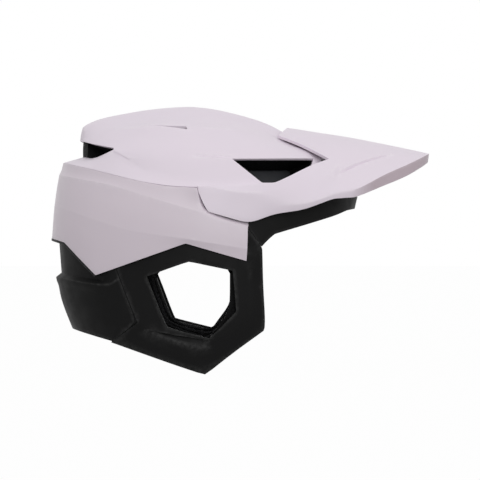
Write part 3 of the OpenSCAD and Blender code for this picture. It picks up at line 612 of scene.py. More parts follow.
class Mixture:
    """A material being mixed: its nodes and the links between them."""

    def __init__(self, name: str) -> None:
        """Starts a material with its shader.

        Args:
            name: The material's name.
        """
        self.material = bpy.data.materials.new(name)
        self.material.use_nodes = True
        self.tree = self.material.node_tree
        self.shader = self.tree.nodes["Principled BSDF"]

    def node(self, kind: str, **settings: object) -> bpy.types.Node:
        """Adds a node.

        Args:
            kind: The node's type.
            settings: Its properties, or its inputs where a name isn't a property.

        Returns:
            The node.
        """
        made = self.tree.nodes.new(kind)
        for key, value in settings.items():
            if hasattr(made, key):
                setattr(made, key, value)
            else:
                made.inputs[key.replace("_", " ").title()].default_value = value
        return made

    def link(self, start: Socket, end: Socket) -> None:
        """Links two sockets."""
        self.tree.links.new(start, end)

    def set(self, **values: object) -> None:
        """Sets the shader's own sockets, named with low lines for spaces."""
        for key, value in values.items():
            self.shader.inputs[key.replace("_", " ")].default_value = value

    def cover(self, colour: Socket, roughness: Socket) -> None:
        """Links a colour and a roughness to the shader."""
        self.link(colour, self.shader.inputs["Base Color"])
        self.link(roughness, self.shader.inputs["Roughness"])

    def place(self, scale: Place = (1, 1, 1)) -> Socket:
        """Gives the object's own coordinates.

        Args:
            scale: The factors along the axes.

        Returns:
            The vector socket.
        """
        mapping = self.node("ShaderNodeMapping", scale=scale)
        self.link(self.node("ShaderNodeTexCoord").outputs["Object"], mapping.inputs["Vector"])
        return mapping.outputs["Vector"]

    def stored(self, name: str) -> Socket:
        """Gives a value that is stored on the piece."""
        return self.node("ShaderNodeAttribute", attribute_name=name).outputs["Fac"]

    def noise(self, scale: float, detail: float = 2.0, vector: Socket | None = None) -> Socket:
        """Gives a noise over the object's coordinates.

        Args:
            scale: Waves per metre.
            detail: The number of finer layers.
            vector: The coordinates, or None for the object's own.

        Returns:
            The noise's value.
        """
        made = self.node("ShaderNodeTexNoise", scale=scale, detail=detail)
        self.link(vector or self.place(), made.inputs["Vector"])
        return made.outputs["Fac"]

    def cells(self, scale: float, randomness: float) -> bpy.types.Node:
        """Gives a pattern of cells over the object's coordinates.

        Args:
            scale: Cells per metre.
            randomness: How far the cells leave their grid, from 0 to 1.

        Returns:
            The node, with the outputs Distance and Color.
        """
        made = self.node("ShaderNodeTexVoronoi", feature="F1", scale=scale, randomness=randomness)
        self.link(self.place(), made.inputs["Vector"])
        return made

    def ramp(self, value: Socket, low: float, high: float, start: float, end: float) -> Socket:
        """Maps a value from one range to another, held at its ends.

        Args:
            value: The value.
            low: The lower end of its range.
            high: The upper end of its range.
            start: What the lower end becomes.
            end: What the upper end becomes.

        Returns:
            The mapped value.
        """
        made = self.node("ShaderNodeMapRange", From_Min=low, From_Max=high, To_Min=start, To_Max=end)
        self.link(value, made.inputs["Value"])
        return made.outputs["Result"]

    def blend(self, share: Socket, first: Colour | Socket, second: Colour) -> Socket:
        """Blends two colours.

        Args:
            share: How much of the second colour shows.
            first: The first colour, or a socket that gives it.
            second: The second colour.

        Returns:
            The blended colour.
        """
        made = self.node("ShaderNodeMix", data_type="RGBA")
        self.link(share, made.inputs["Factor"])
        if isinstance(first, tuple):
            made.inputs[6].default_value = (*first, 1)
        else:
            self.link(first, made.inputs[6])
        made.inputs[7].default_value = (*second, 1)
        return made.outputs[2]

    def times(self, first: Socket, second: Socket) -> Socket:
        """Multiplies two values.

        Args:
            first: The first value.
            second: The second value.

        Returns:
            Their product.
        """
        made = self.node("ShaderNodeMath", operation="MULTIPLY")
        self.link(first, made.inputs[0])
        self.link(second, made.inputs[1])
        return made.outputs[0]

    def emboss(self, height: Socket, depth: float, strength: float,
               below: bpy.types.Node | None = None) -> bpy.types.Node:
        """Raises a pattern on the surface.

        Args:
            height: The pattern.
            depth: Its depth in metres.
            strength: Its strength.
            below: A bump that this one lies on.

        Returns:
            The bump node, linked to the shader.
        """
        made = self.node("ShaderNodeBump", distance=depth, strength=strength)
        self.link(height, made.inputs["Height"])
        if below is not None:
            self.link(below.outputs["Normal"], made.inputs["Normal"])
        self.link(made.outputs["Normal"], self.shader.inputs["Normal"])
        return made


def shaded(colour: Colour, factor: float) -> Colour:
    """Makes a colour lighter or darker."""
    return tuple(part * factor for part in colour)


@dataclass(frozen=True)
class SatinPaint:
    """Satin paint on a moulded shell, with a fine orange peel, slightly rubbed edges painted lighter as
    wear and highlight, and a painted shade on the peak's down-facing lip.
    """

    name: str
    colour: Colour
    cool: Colour
    wear_and_highlight_colour: Colour
    roughness: float = 0.46
    specular: float = 0.35
    # The painted shade of the peak's down-facing lip
    lip_shade_colour: Colour = (0.52, 0.425, 0.47)
    # Waves per metre of the two tones, the lip's painted shade, the rubbing with its painted highlight, the
    # haze and the orange peel
    tone: float = 14.0
    lip_shade_waves: float = 9.0
    wear_and_highlight_waves: float = 260.0
    haze: float = 60.0
    peel: float = 900.0
    fine_peel: float = 2600.0

    def make(self) -> Material:
        """Mixes the paint.

        Returns:
            The material.
        """
        mix = Mixture(self.name)
        broad = mix.ramp(mix.noise(self.tone, 3.0), 0.3, 0.7, 0.0, 1.0)
        body = mix.blend(broad, self.colour, self.cool)
        # Painted shade: the peak's down-facing lip is darkened towards lip_shade_colour
        under = mix.times(mix.stored("under"), mix.ramp(mix.noise(self.lip_shade_waves), 0.3, 0.7, 0.85, 1.0))
        body = mix.blend(under, body, self.lip_shade_colour)
        # Folds are painted lighter: rubbed wear together with a painted edge highlight
        wear_and_highlight_share = mix.times(mix.stored("edge_wear_and_highlight"), mix.ramp(mix.noise(self.wear_and_highlight_waves), 0.35, 0.75, 0.1, 0.6))
        haze = mix.ramp(mix.noise(self.haze, 4.0), 0.3, 0.7, self.roughness - 0.04, self.roughness + 0.05)
        mix.cover(mix.blend(wear_and_highlight_share, body, self.wear_and_highlight_colour), haze)
        mix.set(Specular_IOR_Level=self.specular, Coat_Weight=0.06, Coat_Roughness=0.35)
        peel = mix.emboss(mix.noise(self.peel), 0.00003, 0.35)
        mix.emboss(mix.noise(self.fine_peel, 1.0), 0.00001, 0.25, peel)
        return mix.material


@dataclass(frozen=True)
class GrainedPlastic:
    """Moulded plastic with a spark-eroded grain and lighter edges, part rubbed wear and part painted
    highlight.
    """

    name: str
    colour: Colour
    wear_and_highlight_colour: Colour
    roughness: float = 0.55
    specular: float = 0.2
    grain: float = 2200.0
    depth: float = 0.00004
    # Waves per metre of the two tones, the rubbing with its painted highlight and the haze
    tone: float = 22.0
    wear_and_highlight_waves: float = 320.0
    haze: float = 90.0

    def make(self) -> Material:
        """Mixes the plastic.

        Returns:
            The material.
        """
        mix = Mixture(self.name)
        broad = mix.ramp(mix.noise(self.tone, 3.0), 0.35, 0.7, 0.0, 0.7)
        body = mix.blend(broad, self.colour, shaded(self.colour, 1.5))
        # Folds are painted lighter: rubbed wear together with a painted edge highlight
        wear_and_highlight_share = mix.times(mix.stored("edge_wear_and_highlight"), mix.ramp(mix.noise(self.wear_and_highlight_waves), 0.3, 0.7, 0.15, 0.85))
        haze = mix.ramp(mix.noise(self.haze, 3.0), 0.3, 0.7, self.roughness - 0.06, self.roughness + 0.08)
        mix.cover(mix.blend(wear_and_highlight_share, body, self.wear_and_highlight_colour), haze)
        mix.set(Specular_IOR_Level=self.specular)
        mix.emboss(mix.noise(self.grain), self.depth, 0.5)
        return mix.material


@dataclass(frozen=True)
class BeadFoam:
    """Expanded foam with its pressed beads."""

    name: str
    colour: Colour
    bead: float = 380.0

    def make(self) -> Material:
        """Mixes the foam.

        Returns:
            The material.
        """
        mix = Mixture(self.name)
        cells = mix.cells(self.bead, 1.0)
        tone = mix.ramp(cells.outputs["Color"], 0.1, 0.9, 0.0, 1.0)
        body = mix.blend(tone, self.colour, shaded(self.colour, 1.9))
        gap = mix.ramp(cells.outputs["Distance"], 0.35, 0.75, 0.0, 0.75)
        mix.cover(mix.blend(gap, body, shaded(self.colour, 0.35)), mix.ramp(tone, 0.0, 1.0, 0.62, 0.78))
        mix.set(Specular_IOR_Level=0.08)
        mix.emboss(mix.ramp(cells.outputs["Distance"], 0.0, 0.7, 1.0, 0.0), 0.0003, 0.55)
        return mix.material


@dataclass(frozen=True)
class PadKnit:
    """Padded knit, with a dimpled face and a soft sheen."""

    name: str
    colour: Colour
    thread: Colour
    dimple: float = 620.0
    fuzz: float = 3200.0
    fibre: float = 2800.0

    def make(self) -> Material:
        """Mixes the knit.

        Returns:
            The material.
        """
        mix = Mixture(self.name)
        cells = mix.cells(self.dimple, 0.25)
        ridge = mix.ramp(cells.outputs["Distance"], 0.15, 0.6, 0.0, 1.0)
        fuzz = mix.ramp(mix.noise(self.fuzz, 3.0), 0.35, 0.7, 0.0, 0.5)
        body = mix.blend(ridge, self.colour, self.thread)
        mix.cover(mix.blend(fuzz, body, self.thread), mix.ramp(ridge, 0.0, 1.0, 0.95, 0.8))
        mix.set(Specular_IOR_Level=0.08, Sheen_Weight=0.10, Sheen_Roughness=0.5)
        low = mix.emboss(ridge, 0.0003, 0.6)
        mix.emboss(mix.noise(self.fibre), 0.0001, 0.4, low)
        return mix.material


@dataclass(frozen=True)
class WovenTape:
    """Woven webbing, whose weave follows the tape's own map in metres."""

    name: str
    colour: Colour
    thread: Colour
    rows: float = 1100.0
    ribs: float = 620.0
    slant: float = 0.35
    fuzz: float = 2400.0

    def wave(self, mix: Mixture, turn: float, scale: float) -> Socket:
        """Gives the threads of one direction.

        Args:
            mix: The material being mixed.
            turn: Their direction in radians.
            scale: Their number per metre, times two pi.

        Returns:
            Their height.
        """
        mapping = mix.node("ShaderNodeMapping", rotation=(0, 0, turn))
        mix.link(mix.node("ShaderNodeUVMap", uv_map="tape").outputs["UV"], mapping.inputs["Vector"])
        made = mix.node("ShaderNodeTexWave", wave_type="BANDS", bands_direction="X",
                        scale=scale / 6.28, distortion=0.6)
        mix.link(mapping.outputs["Vector"], made.inputs["Vector"])
        return made.outputs["Fac"]

    def make(self) -> Material:
        """Mixes the weave.

        Returns:
            The material.
        """
        mix = Mixture(self.name)
        weave = mix.times(self.wave(mix, 0.0, self.ribs),
                          self.wave(mix, math.radians(90) + self.slant, self.rows))
        fuzz = mix.ramp(mix.noise(self.fuzz, 3.0), 0.4, 0.8, 0.0, 0.45)
        body = mix.blend(weave, self.colour, self.thread)
        mix.cover(mix.blend(fuzz, body, self.thread), mix.ramp(weave, 0.0, 1.0, 0.85, 0.6))
        mix.set(Specular_IOR_Level=0.2, Sheen_Weight=0.25, Sheen_Roughness=0.4)
        mix.emboss(weave, 0.00035, 0.8)
        return mix.material


@dataclass(frozen=True)
class StitchThread:
    """Twisted sewing thread."""

    name: str
    colour: Colour
    twist: float = 2600.0

    def make(self) -> Material:
        """Mixes the thread.

        Returns:
            The material.
        """
        mix = Mixture(self.name)
        ply = mix.ramp(mix.noise(self.twist), 0.35, 0.65, 0.0, 1.0)
        mix.cover(mix.blend(ply, self.colour, shaded(self.colour, 1.8)), mix.ramp(ply, 0.0, 1.0, 0.8, 0.6))
        mix.set(Specular_IOR_Level=0.25, Sheen_Weight=0.3)
        mix.emboss(ply, 0.0001, 0.6)
        return mix.material


@dataclass(frozen=True)
class BrushedSteel:
    """Pressed steel with a fine brushed grain."""

    name: str
    colour: Colour
    brush: float = 400.0

    def make(self) -> Material:
        """Mixes the steel.

        Returns:
            The material.
        """
        mix = Mixture(self.name)
        streak = mix.noise(self.brush, 3.0, mix.place((1, 1, 12)))
        mix.cover(mix.blend(streak, self.colour, shaded(self.colour, 0.8)),
                  mix.ramp(streak, 0.3, 0.7, 0.28, 0.42))
        mix.set(Metallic=1.0)
        mix.emboss(streak, 0.00003, 0.3)
        return mix.material


@dataclass(frozen=True)
class Finishes:
    """All the finishes of the helmet, mixed once."""

    crown: Material = field(default_factory=SatinPaint(
        "crown_paint", (0.745, 0.668, 0.742), (0.725, 0.655, 0.730), (0.80, 0.74, 0.79)).make)
    side: Material = field(default_factory=SatinPaint(
        "side_paint", (0.66, 0.585, 0.645), (0.64, 0.57, 0.63), (0.74, 0.68, 0.73), 0.36, 0.42).make)
    black: Material = field(default_factory=GrainedPlastic(
        "guard_plastic", (0.0042, 0.0042, 0.0043), (0.040, 0.040, 0.040), 0.52, 0.09).make)
    foam: Material = field(default_factory=BeadFoam("liner_foam", (0.0032, 0.0032, 0.0034)).make)
    slip: Material = field(default_factory=GrainedPlastic(
        "slip_sheet", (0.035, 0.036, 0.04), (0.09, 0.09, 0.1), 0.38, 0.35, 900.0, 0.00002).make)
    plug: Material = field(default_factory=GrainedPlastic(
        "plug_rubber", (0.012, 0.012, 0.013), (0.03, 0.03, 0.03), 0.75, 0.2, 1500.0).make)
    knit: Material = field(default_factory=PadKnit(
        "pad_knit", (0.006, 0.006, 0.0065), (0.018, 0.018, 0.020)).make)
    binding: Material = field(default_factory=PadKnit(
        "pad_binding", (0.007, 0.007, 0.008), (0.022, 0.022, 0.024), 1400.0).make)
    nylon: Material = field(default_factory=GrainedPlastic(
        "fit_nylon", (0.022, 0.022, 0.024), (0.07, 0.07, 0.075), 0.5, 0.3, 1800.0).make)
    rubber: Material = field(default_factory=GrainedPlastic(
        "dial_rubber", (0.05, 0.05, 0.052), (0.11, 0.11, 0.115), 0.7, 0.25, 1300.0, 0.00006).make)
    fitting: Material = field(default_factory=GrainedPlastic(
        "fitting_nylon", (0.016, 0.016, 0.017), (0.06, 0.06, 0.062), 0.42, 0.35, 2000.0).make)
    tape: Material = field(default_factory=WovenTape(
        "strap_webbing", (0.007, 0.007, 0.008), (0.04, 0.04, 0.043)).make)
    thread: Material = field(default_factory=StitchThread("strap_thread", (0.09, 0.09, 0.095)).make)
    steel: Material = field(default_factory=BrushedSteel("screw_steel", (0.55, 0.55, 0.56)).make)


def coat(piece: Piece, material: Material) -> None:
    """Gives a piece its material.

    Args:
        piece: The finished piece.
        material: Its material.
    """
    piece.data.materials.clear()
    piece.data.materials.append(material)


def dress(piece: Piece, material: Material, slot: Slot, body: Body, *nodes: str) -> None:
    """Coats a piece, hangs it on its body and hides the CAD nodes that it stands for.

    Args:
        piece: The finished piece.
        material: Its material.
        slot: The record's slot; not used.
        body: The body that it rides on.
        nodes: The CAD nodes that it replaces.
    """
    coat(piece, material)
    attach(piece, body.value)
    if nodes:
        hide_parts(*nodes)
    log.info("%s rides on %s, %d faces", piece.name, body.value, len(piece.data.polygons))


def present(piece: Piece, angle: float | None, material: Material, slot: Slot, body: Body,
            *nodes: str) -> None:
    """Shades a piece, marks its folds for the wear and painted highlight of its edges and dresses it.

    Args:
        piece: The finished piece.
        angle: The greatest smooth fold in degrees, or None for all.
        material: Its material.
        slot: The record's slot.
        body: The body that it rides on.
        nodes: The CAD nodes that it replaces.
    """
    smooth(piece, angle)
    mark_edges(piece)
    dress(piece, material, slot, body, *nodes)


# Sub-assemblies


@dataclass
class OuterShells:
    """The pale shells, the peak and the black guards.

    Drawn lines are points of the side view, as x and height in millimetres.
    """

    finishes: Finishes
    levels: int = 2
    # How the rims, folds and corners of a shell are held while it is softened, and how its rims are rounded
    rim_fold: float = 55.0
    line_fold: float = 24.0
    line_crease: float = 0.65
    corner_turn: float = 22.0
    corner_hold: float = 0.7
    firm_hold: float = 0.95
    rim: float = 0.55 * MM
    rim_angle: float = 50.0
    seam_rim: float = 0.22 * MM
    # The crown: the fold and the groove behind each side vent
    vent_fold: Zone = Zone((-0.046, 0.004), (0.07, FAR), (0.1895, 0.1945))
    vent_crease: float = 0.6
    vent_moves: tuple[Nudge, ...] = (Nudge(-112.4, 197.9, -0.5, 2.8, -1.0), Nudge(-124, 194.3, 0, 1.5))
    vent_zone: Zone = Zone((-0.048, 0.002), (0.05, FAR), (0.186, 0.201))
    vent_line: tuple[Place, Place] = ((-0.043, 0.090, 0.1953), (-0.004, 0.090, 0.1932))
    vent_width: float = 1.5 * MM
    vent_depth: float = 1.0 * MM
    # The side shell: its band and panel, its rim under the crown's ridge, and its rim under the peak's arm
    band_line: Line = ((-170, 181), (-154, 177), (-110, 168), (-91, 161), (-41, 146), (-26, 142.5))
    band_crease: float = 1.0
    panel_line: Line = ((-178, 152), (-161, 149), (-99, 128), (-48, 121), (6, 112))
    panel_crease: float = 0.55
    ridge_line: Line = ((-170, 193), (-145, 186.5), (-124, 181), (-92, 172.5), (-64, 167.3), (-38, 166.5))
    under_ridge: float = 2.6
    ridge_rise: float = 2.3 * MM
    ridge_out: float = 1.2 * MM
    tuck_zone: Zone = Zone((-0.040, 0.0068), z=(0.128, FAR))
    tuck_move: Place = (1.0 * MM, 0, 2.6 * MM)
    tuck_taper: Place = (1, 0.966, 1)
    # The peak: its arms, whose upper rim is tucked under the crown's, then its tip, its roof and its lip
    peak_hold: float = 0.5
    peak_rim: float = 1.1 * MM
    arm_zone: Zone = Zone((-FAR, 0.022), z=(0.1625, FAR))
    arm_span: Range = (0.024, 0.004)
    arm_rise: float = 2.2 * MM
    arm_tuck: float = 1.3 * MM
    arm_moves: tuple[Nudge, ...] = (
        Nudge(-34.5, 152, 2.2, 0.5), Nudge(-29.5, 145, 1.5, -0.2), Nudge(-23, 141, 3.0, 1.4),
        Nudge(-4, 135.7, 0, 2.2))
    peak_line: Line = (
        (104, 163.6), (117, 170.1), (130, 177.6), (152, 186.7), (168, 194.3), (176, 197.9), (178, 199))
    front_start: float = 0.080
    # Where along the peak, in millimetres, each of these sets in and where it is full
    roof_span: Range = (80, 105)
    tip_span: Range = (160, 175)
    # lip_shade_span sets where the painted shade of the lip's down-facing faces sets in
    drop_span: Range = (125, 145)
    lip_shade_span: Range = (98, 120)
    roof_lift: float = 1.5 * MM
    tip_lift: float = 0.8 * MM
    lip_drop: float = 1.2 * MM
    roof_zone: Zone = Zone((0.075, 0.150), (0.028, 0.088), (0.165, FAR))
    roof_line: tuple[Place, Place] = ((0.0866, 0.0760, 0.1785), (0.1400, 0.0390, 0.1970))
    roof_width: float = 1.3 * MM
    roof_depth: float = 2.1 * MM
    # The guards: the pillar's top, which comes out to the brow frame, and the scoop under the ear opening
    guard_moves: tuple[Nudge, ...] = (
        Nudge(17, 114, 2.0, -1.0, 5.0), Nudge(18, 107, 1.2, 0, 2.5), Nudge(-35, 0.3, 4.0, 0),
        Nudge(-114, 30.2, -1.2, -1.6))
    scoop_zone: Zone = Zone((-0.086, -0.020), z=(0.018, 0.052))
    scoop_tip: Range = (-0.081, 0.040)
    scoop_top: Range = (-0.0284, 0.0312)
    scoop_lip: float = 0.0006
    scoop_reach: Range = (0.0012, 0.0085)
    scoop_depth: float = 2.2 * MM
    # The neck cover: the end faces that carry the seam's tongue, and its foot
    seam_zone: Zone = Zone((-0.119, FAR), (0.05, FAR))
    seam_inset: float = 0.8 * MM
    seam_tongue: float = 2.2 * MM
    neck_foot: Zone = Zone((-FAR, -0.1115), z=(-FAR, 0.0415))
    neck_drop: float = 1.6 * MM
    # The brow frame: its lower edge
    brow_rim: float = 0.3 * MM
    brow_moves: tuple[Nudge, ...] = (Nudge(17, 115.4, 2.0, -1.2), Nudge(22.4, 119.8, 0.8, -0.6))
    brow_line: Line = ((30.7, 127.2), (42.5, 130.7), (68, 138.4), (79.4, 141.8), (98, 148.2), (107, 149.9))
    brow_drop: float = 2.0 * MM
    # The trim under the rear edge of the side shell
    trim_zone: Zone = Zone((-FAR, -0.124))
    trim_depth: float = 2.4 * MM

    def rough(self, node: str, name: str, hold: float | None = None) -> Piece:
        """Copies a CAD shell and creases its rims and folds.

        Args:
            node: The CAD node.
            name: The new piece's name.
            hold: The hold of its corners, or None for that of most shells.

        Returns:
            The copy, ready to be softened.
        """
        piece = copy_node(node, name)
        crease_folds(piece, self.line_fold, self.line_crease)
        crease_folds(piece, self.rim_fold, 1.0)
        hold_corners(piece, self.rim_fold, self.corner_turn, hold or self.corner_hold)
        return piece

    def finish(self, piece: Piece, node: str, material: Material, slot: Slot,
               rim: float | None = None) -> None:
        """Rounds the rims of a softened shell and dresses it.

        Args:
            piece: The shell.
            node: The CAD node that it stands for.
            material: Its material.
            slot: The record's slot.
            rim: The width of the rounding, or None for that of most shells.
        """
        round_edges(piece, rim or self.rim, 2 if rim is None else 3, self.rim_angle)
        present(piece, None, material, slot, Body.HELMET, node)

    def on_line(self, line: Line, reach: float) -> PointTest:
        """Makes a test for points on a drawn line.

        Args:
            line: The line.
            reach: The greatest distance in height, in millimetres.

        Returns:
            The test.
        """
        def test(point: Vector) -> bool:
            """Says if a point lies on the line."""
            x, z = point.x / MM, point.z / MM
            return line[0][0] - 9 <= x <= line[-1][0] + 0.5 and abs(z - height_on(line, x)) < reach
        return test

    def grooves(self, piece: Piece, line: tuple[Place, Place], width: float, depth: float,
                near: Callable[[Vector, Vector, int], bool]) -> None:
        """Presses a groove into each side of a shell.

        Args:
            piece: The shell.
            line: The groove's two ends, with y counted outwards.
            width: Its half width.
            depth: Its depth.
            near: Takes a face's centre and normal and the side, and says if the groove may cross it.
        """
        for side in (1, -1):
            start, end = ((x, -side * y, z) for x, y, z in line)
            score(piece, start, end, width, depth, lambda centre, normal: near(centre, normal, side))

    def crown(self) -> None:
        """Makes the crown, with the fold that runs back from each side vent."""
        piece = self.rough("crown_shell", "crown_skin")
        crease_line(piece, self.vent_fold.holds, self.vent_crease)
        nudge(piece, self.vent_moves)
        soften(piece, self.levels)
        self.grooves(piece, self.vent_line, self.vent_width, self.vent_depth,
                     lambda c, n, side: -side * n.y > 0.2 and self.vent_zone.holds(c, side))
        self.finish(piece, "crown_shell", self.finishes.crown, Slot.PALE_CROWN, self.seam_rim)

    def side(self) -> None:
        """Makes the side shell, with a sharp band and panel, and closes it against the crown's ridge."""
        piece = self.rough("side_shell", "side_skin")
        crease_line(piece, self.on_line(self.band_line, 1.2), self.band_crease)
        crease_line(piece, self.on_line(self.panel_line, 1.2), self.panel_crease)
        for vertex in piece.data.vertices:
            x, z = vertex.co.x / MM, vertex.co.z / MM
            if x < -37 and abs(z - height_on(self.ridge_line, x) + self.under_ridge) < 1.3:
                out = Vector((min(0.0, vertex.co.x + 0.040), vertex.co.y, 0)).normalized()
                vertex.co += out * self.ridge_out + Vector((0, 0, self.ridge_rise))
        # Under the peak's arms the rim turns inwards, so that the joint shows as a shallow line
        open_up(piece)
        choose_faces(piece, lambda c, n: self.tuck_zone.holds(c) and (n.z > 0.35 or n.x > 0.8))
        bpy.ops.mesh.extrude_region_move(TRANSFORM_OT_translate={"value": self.tuck_move})
        bpy.ops.transform.resize(value=self.tuck_taper, center_override=(0, 0, 0.140))
        close_up()
        soften(piece, self.levels)
        for line in (self.band_line, self.panel_line):
            sharpen_line(piece, self.on_line(line, 2.5))
        self.finish(piece, "side_shell", self.finishes.side, Slot.PALE_SIDE, self.seam_rim)

    def peak(self) -> None:
        """Makes the peak, with the line pressed into each side of its roof."""
        piece = self.rough("peak", "peak_skin", self.peak_hold)
        for vertex in piece.data.vertices:
            if self.arm_zone.holds(vertex.co):
                share = share_between(vertex.co.x, self.arm_span)
                vertex.co.z += self.arm_rise * share
                vertex.co.y -= math.copysign(self.arm_tuck, vertex.co.y) * share
            elif vertex.co.x > self.front_start:
                self.reshape_tip(vertex)
        nudge(piece, self.arm_moves)
        soften(piece, self.levels)
        round_edges(piece, self.peak_rim, 3, self.rim_angle)
        self.grooves(piece, self.roof_line, self.roof_width, self.roof_depth,
                     lambda c, n, side: n.z > 0.2 and self.roof_zone.holds(c, side))
        # Painted shade on the lip's down-facing faces, darker than the roof's paint
        store(piece, "under", "FACE", [self.lip_shade_share(face) for face in piece.data.polygons])
        present(piece, None, self.finishes.crown, Slot.PALE_CROWN, Body.HELMET, "peak")

    def tip_rise(self, x: float) -> float:
        """Gives the extra lift of the roof near its tip, at an x in millimetres."""
        return self.tip_lift * share_between(x, self.tip_span)

    def reshape_tip(self, vertex: bpy.types.MeshVertex) -> None:
        """Rounds the peak's roof up and its lip down towards the tip.

        Args:
            vertex: A point of the peak's front half.
        """
        x, z = vertex.co.x / MM, vertex.co.z / MM
        if z > height_on(self.peak_line, x) - 3:
            vertex.co.z += self.roof_lift * share_between(x, self.roof_span) + self.tip_rise(x)
        else:
            vertex.co.z -= self.lip_drop * share_between(x, self.drop_span)

    def lip_shade_share(self, face: bpy.types.MeshPolygon) -> float:
        """Says how much painted shade a face of the peak's lip has, where the lip faces down out of the
        light.

        Args:
            face: The face.

        Returns:
            The share, which fades in behind the arm.
        """
        x, z = face.center.x / MM, face.center.z / MM
        edge = height_on(self.peak_line, x) + (self.roof_lift + self.tip_rise(x)) / MM
        if face.normal.z > 0.3 or z > edge + 0.6:
            return 0.0
        return share_between(x, self.lip_shade_span)

    def scoop(self, piece: Piece, side: int) -> None:
        """Hollows the scoop under the ear opening of a guard.

        Args:
            piece: The guard's skin.
            side: 1 for the right guard, -1 for the left one.
        """
        tip, top = Vector(self.scoop_tip), Vector(self.scoop_top)
        along = (top - tip).normalized()
        down = Vector((along.y, -along.x))
        start, plane = Vector((tip.x, 0, tip.y)), Vector((down.x, 0, down.y))
        mesh = bmesh.new()
        mesh.from_mesh(piece.data)
        for offset in (0.0, self.scoop_lip):
            cut_faces(mesh, lambda c, n: n.y * side < -0.3 and self.scoop_zone.holds(c),
                      start + plane * offset, plane)
        mesh.normal_update()
        for vert in mesh.verts:
            flat = Vector((vert.co.x, vert.co.z)) - tip
            below = flat.dot(down) - self.scoop_lip
            share = flat.dot(along) / (top - tip).length
            if -0.00005 <= below < 0.012 and 0.02 < share < 0.98:
                reach = self.scoop_reach[0] + self.scoop_reach[1] * share
                fade = max(0.0, 1 - below / reach) * min(1.0, 5 * share, 12 * (1 - share))
                vert.co.y += side * self.scoop_depth * fade
        mesh.to_mesh(piece.data)
        mesh.free()

    def guard(self, name: str, side: int) -> None:
        """Makes an ear guard with its scoop.

        Args:
            name: Its side, right or left.
            side: 1 for the right guard, -1 for the left one.
        """
        piece = self.rough("guard_" + name, "guard_skin_" + name)
        nudge(piece, self.guard_moves)
        soften(piece, self.levels)
        self.scoop(piece, side)
        self.finish(piece, "guard_" + name, self.finishes.black, Slot.BLACK_SHELL)

    def neck(self) -> None:
        """Makes the neck cover, whose ends carry a tongue that closes the seams to the guards."""
        piece = self.rough("rear_guard", "neck_skin", self.firm_hold)
        open_up(piece)
        choose_faces(piece, lambda c, n: n.x > 0.4 and self.seam_zone.holds(c))
        bpy.ops.mesh.inset(thickness=self.seam_inset, depth=0.0)
        bpy.ops.mesh.extrude_region_move(TRANSFORM_OT_translate={"value": (self.seam_tongue, 0, 0)})
        close_up()
        for vertex in piece.data.vertices:
            if self.neck_foot.holds(vertex.co):
                vertex.co.z -= self.neck_drop
        soften(piece, self.levels)
        self.finish(piece, "rear_guard", self.finishes.black, Slot.BLACK_SHELL)

    def brow(self) -> None:
        """Makes the brow frame, with its lower edge drawn down to the rim of the face opening."""
        piece = self.rough("brow_frame", "brow_skin", self.firm_hold)
        nudge(piece, self.brow_moves)
        for vertex in piece.data.vertices:
            x, z = vertex.co.x / MM, vertex.co.z / MM
            if x > 28 and abs(z - height_on(self.brow_line, x)) < 2:
                vertex.co.z -= self.brow_drop * (1.0 if x < 95 else 0.4)
        soften(piece, self.levels)
        self.finish(piece, "brow_frame", self.finishes.black, Slot.BLACK_SHELL, self.brow_rim)

    def trim(self) -> None:
        """Makes the black trim under the rear edge of the side shell."""
        piece = copy_node("side_shell", "edge_trim")
        open_up(piece)
        choose_faces(piece, lambda c, n: not (n.z < -0.45 and self.trim_zone.holds(c)))
        bpy.ops.mesh.delete(type="FACE")
        close_up()
        work(piece, "SOLIDIFY", thickness=self.trim_depth, offset=1.0)
        open_up(piece, whole=True)
        bpy.ops.mesh.normals_make_consistent(inside=False)
        close_up()
        round_edges(piece, 0.5 * MM, 2, 40.0)
        present(piece, 40.0, self.finishes.black, Slot.BLACK_SHELL, Body.HELMET)

    def build(self) -> None:
        """Makes all outer shells."""
        self.crown()
        self.peak()
        self.side()
        self.trim()
        self.brow()
        self.guard("right", 1)
        self.guard("left", -1)
        self.neck()


@dataclass
class Liners:
    """The foam liners and the slip liner."""

    finishes: Finishes
    rim: float = 1.2 * MM
    slip_rim: float = 0.4 * MM
    rim_angle: float = 50.0
    # The crown's foam fills the rear vent down to the shell's rim
    rear_moves: tuple[Nudge, ...] = (
        Nudge(-143.4, 196.6, -4.2, 0.3), Nudge(-141.8, 195.7, -4.0, 0.3), Nudge(-137.4, 194.1, -3.0, 0.3))

    def foam(self, node: str, name: str) -> None:
        """Makes a smooth foam block over a CAD liner.

        Args:
            node: The CAD node.
            name: The new piece's name.
        """
        piece = copy_node(node, name)
        if node == "liner_crown":
            nudge(piece, self.rear_moves)
        crease_folds(piece, 40.0, 0.9)
        round_edges(piece, self.rim, 2, self.rim_angle)
        soften(piece, 1)
        present(piece, None, self.finishes.foam, Slot.BLACK_FOAM, Body.HELMET, node)

    def build(self) -> None:
        """Makes all liners."""
        for part in ("crown", "rear", "brow", "cheek_right", "cheek_left", "neck"):
            self.foam("liner_" + part, "foam_" + part)
        slip = copy_node("slip_liner", "slip_sheet")
        round_edges(slip, self.slip_rim, 2, self.rim_angle)
        soften(slip, 2)
        present(slip, None, self.finishes.slip, Slot.GREY_SLIP, Body.HELMET, "slip_liner")


@dataclass
class HeadSpace:
    """The head space that the inner pieces follow."""

    middle: Place = (-0.028, 0.0, 0.150)
    half_length: float = 0.112
    half_width: float = 0.080
    rise: float = 0.068
    taper: float = 0.05

    def depth(self, point: Vector) -> float:
        """Says how far inside the head space a point lies.

        Args:
            point: The point.

        Returns:
            The depth in metres.
        """
        low = max(0.0, self.middle[2] - point.z)
        high = max(0.0, point.z - self.middle[2])
        width = self.half_width - self.taper * low
        share = math.hypot((point.x - self.middle[0]) / self.half_length, point.y / width, high / self.rise)
        around = math.hypot(point.x - self.middle[0], point.y, high)
        return around * (1 / max(share, 0.0001) - 1)


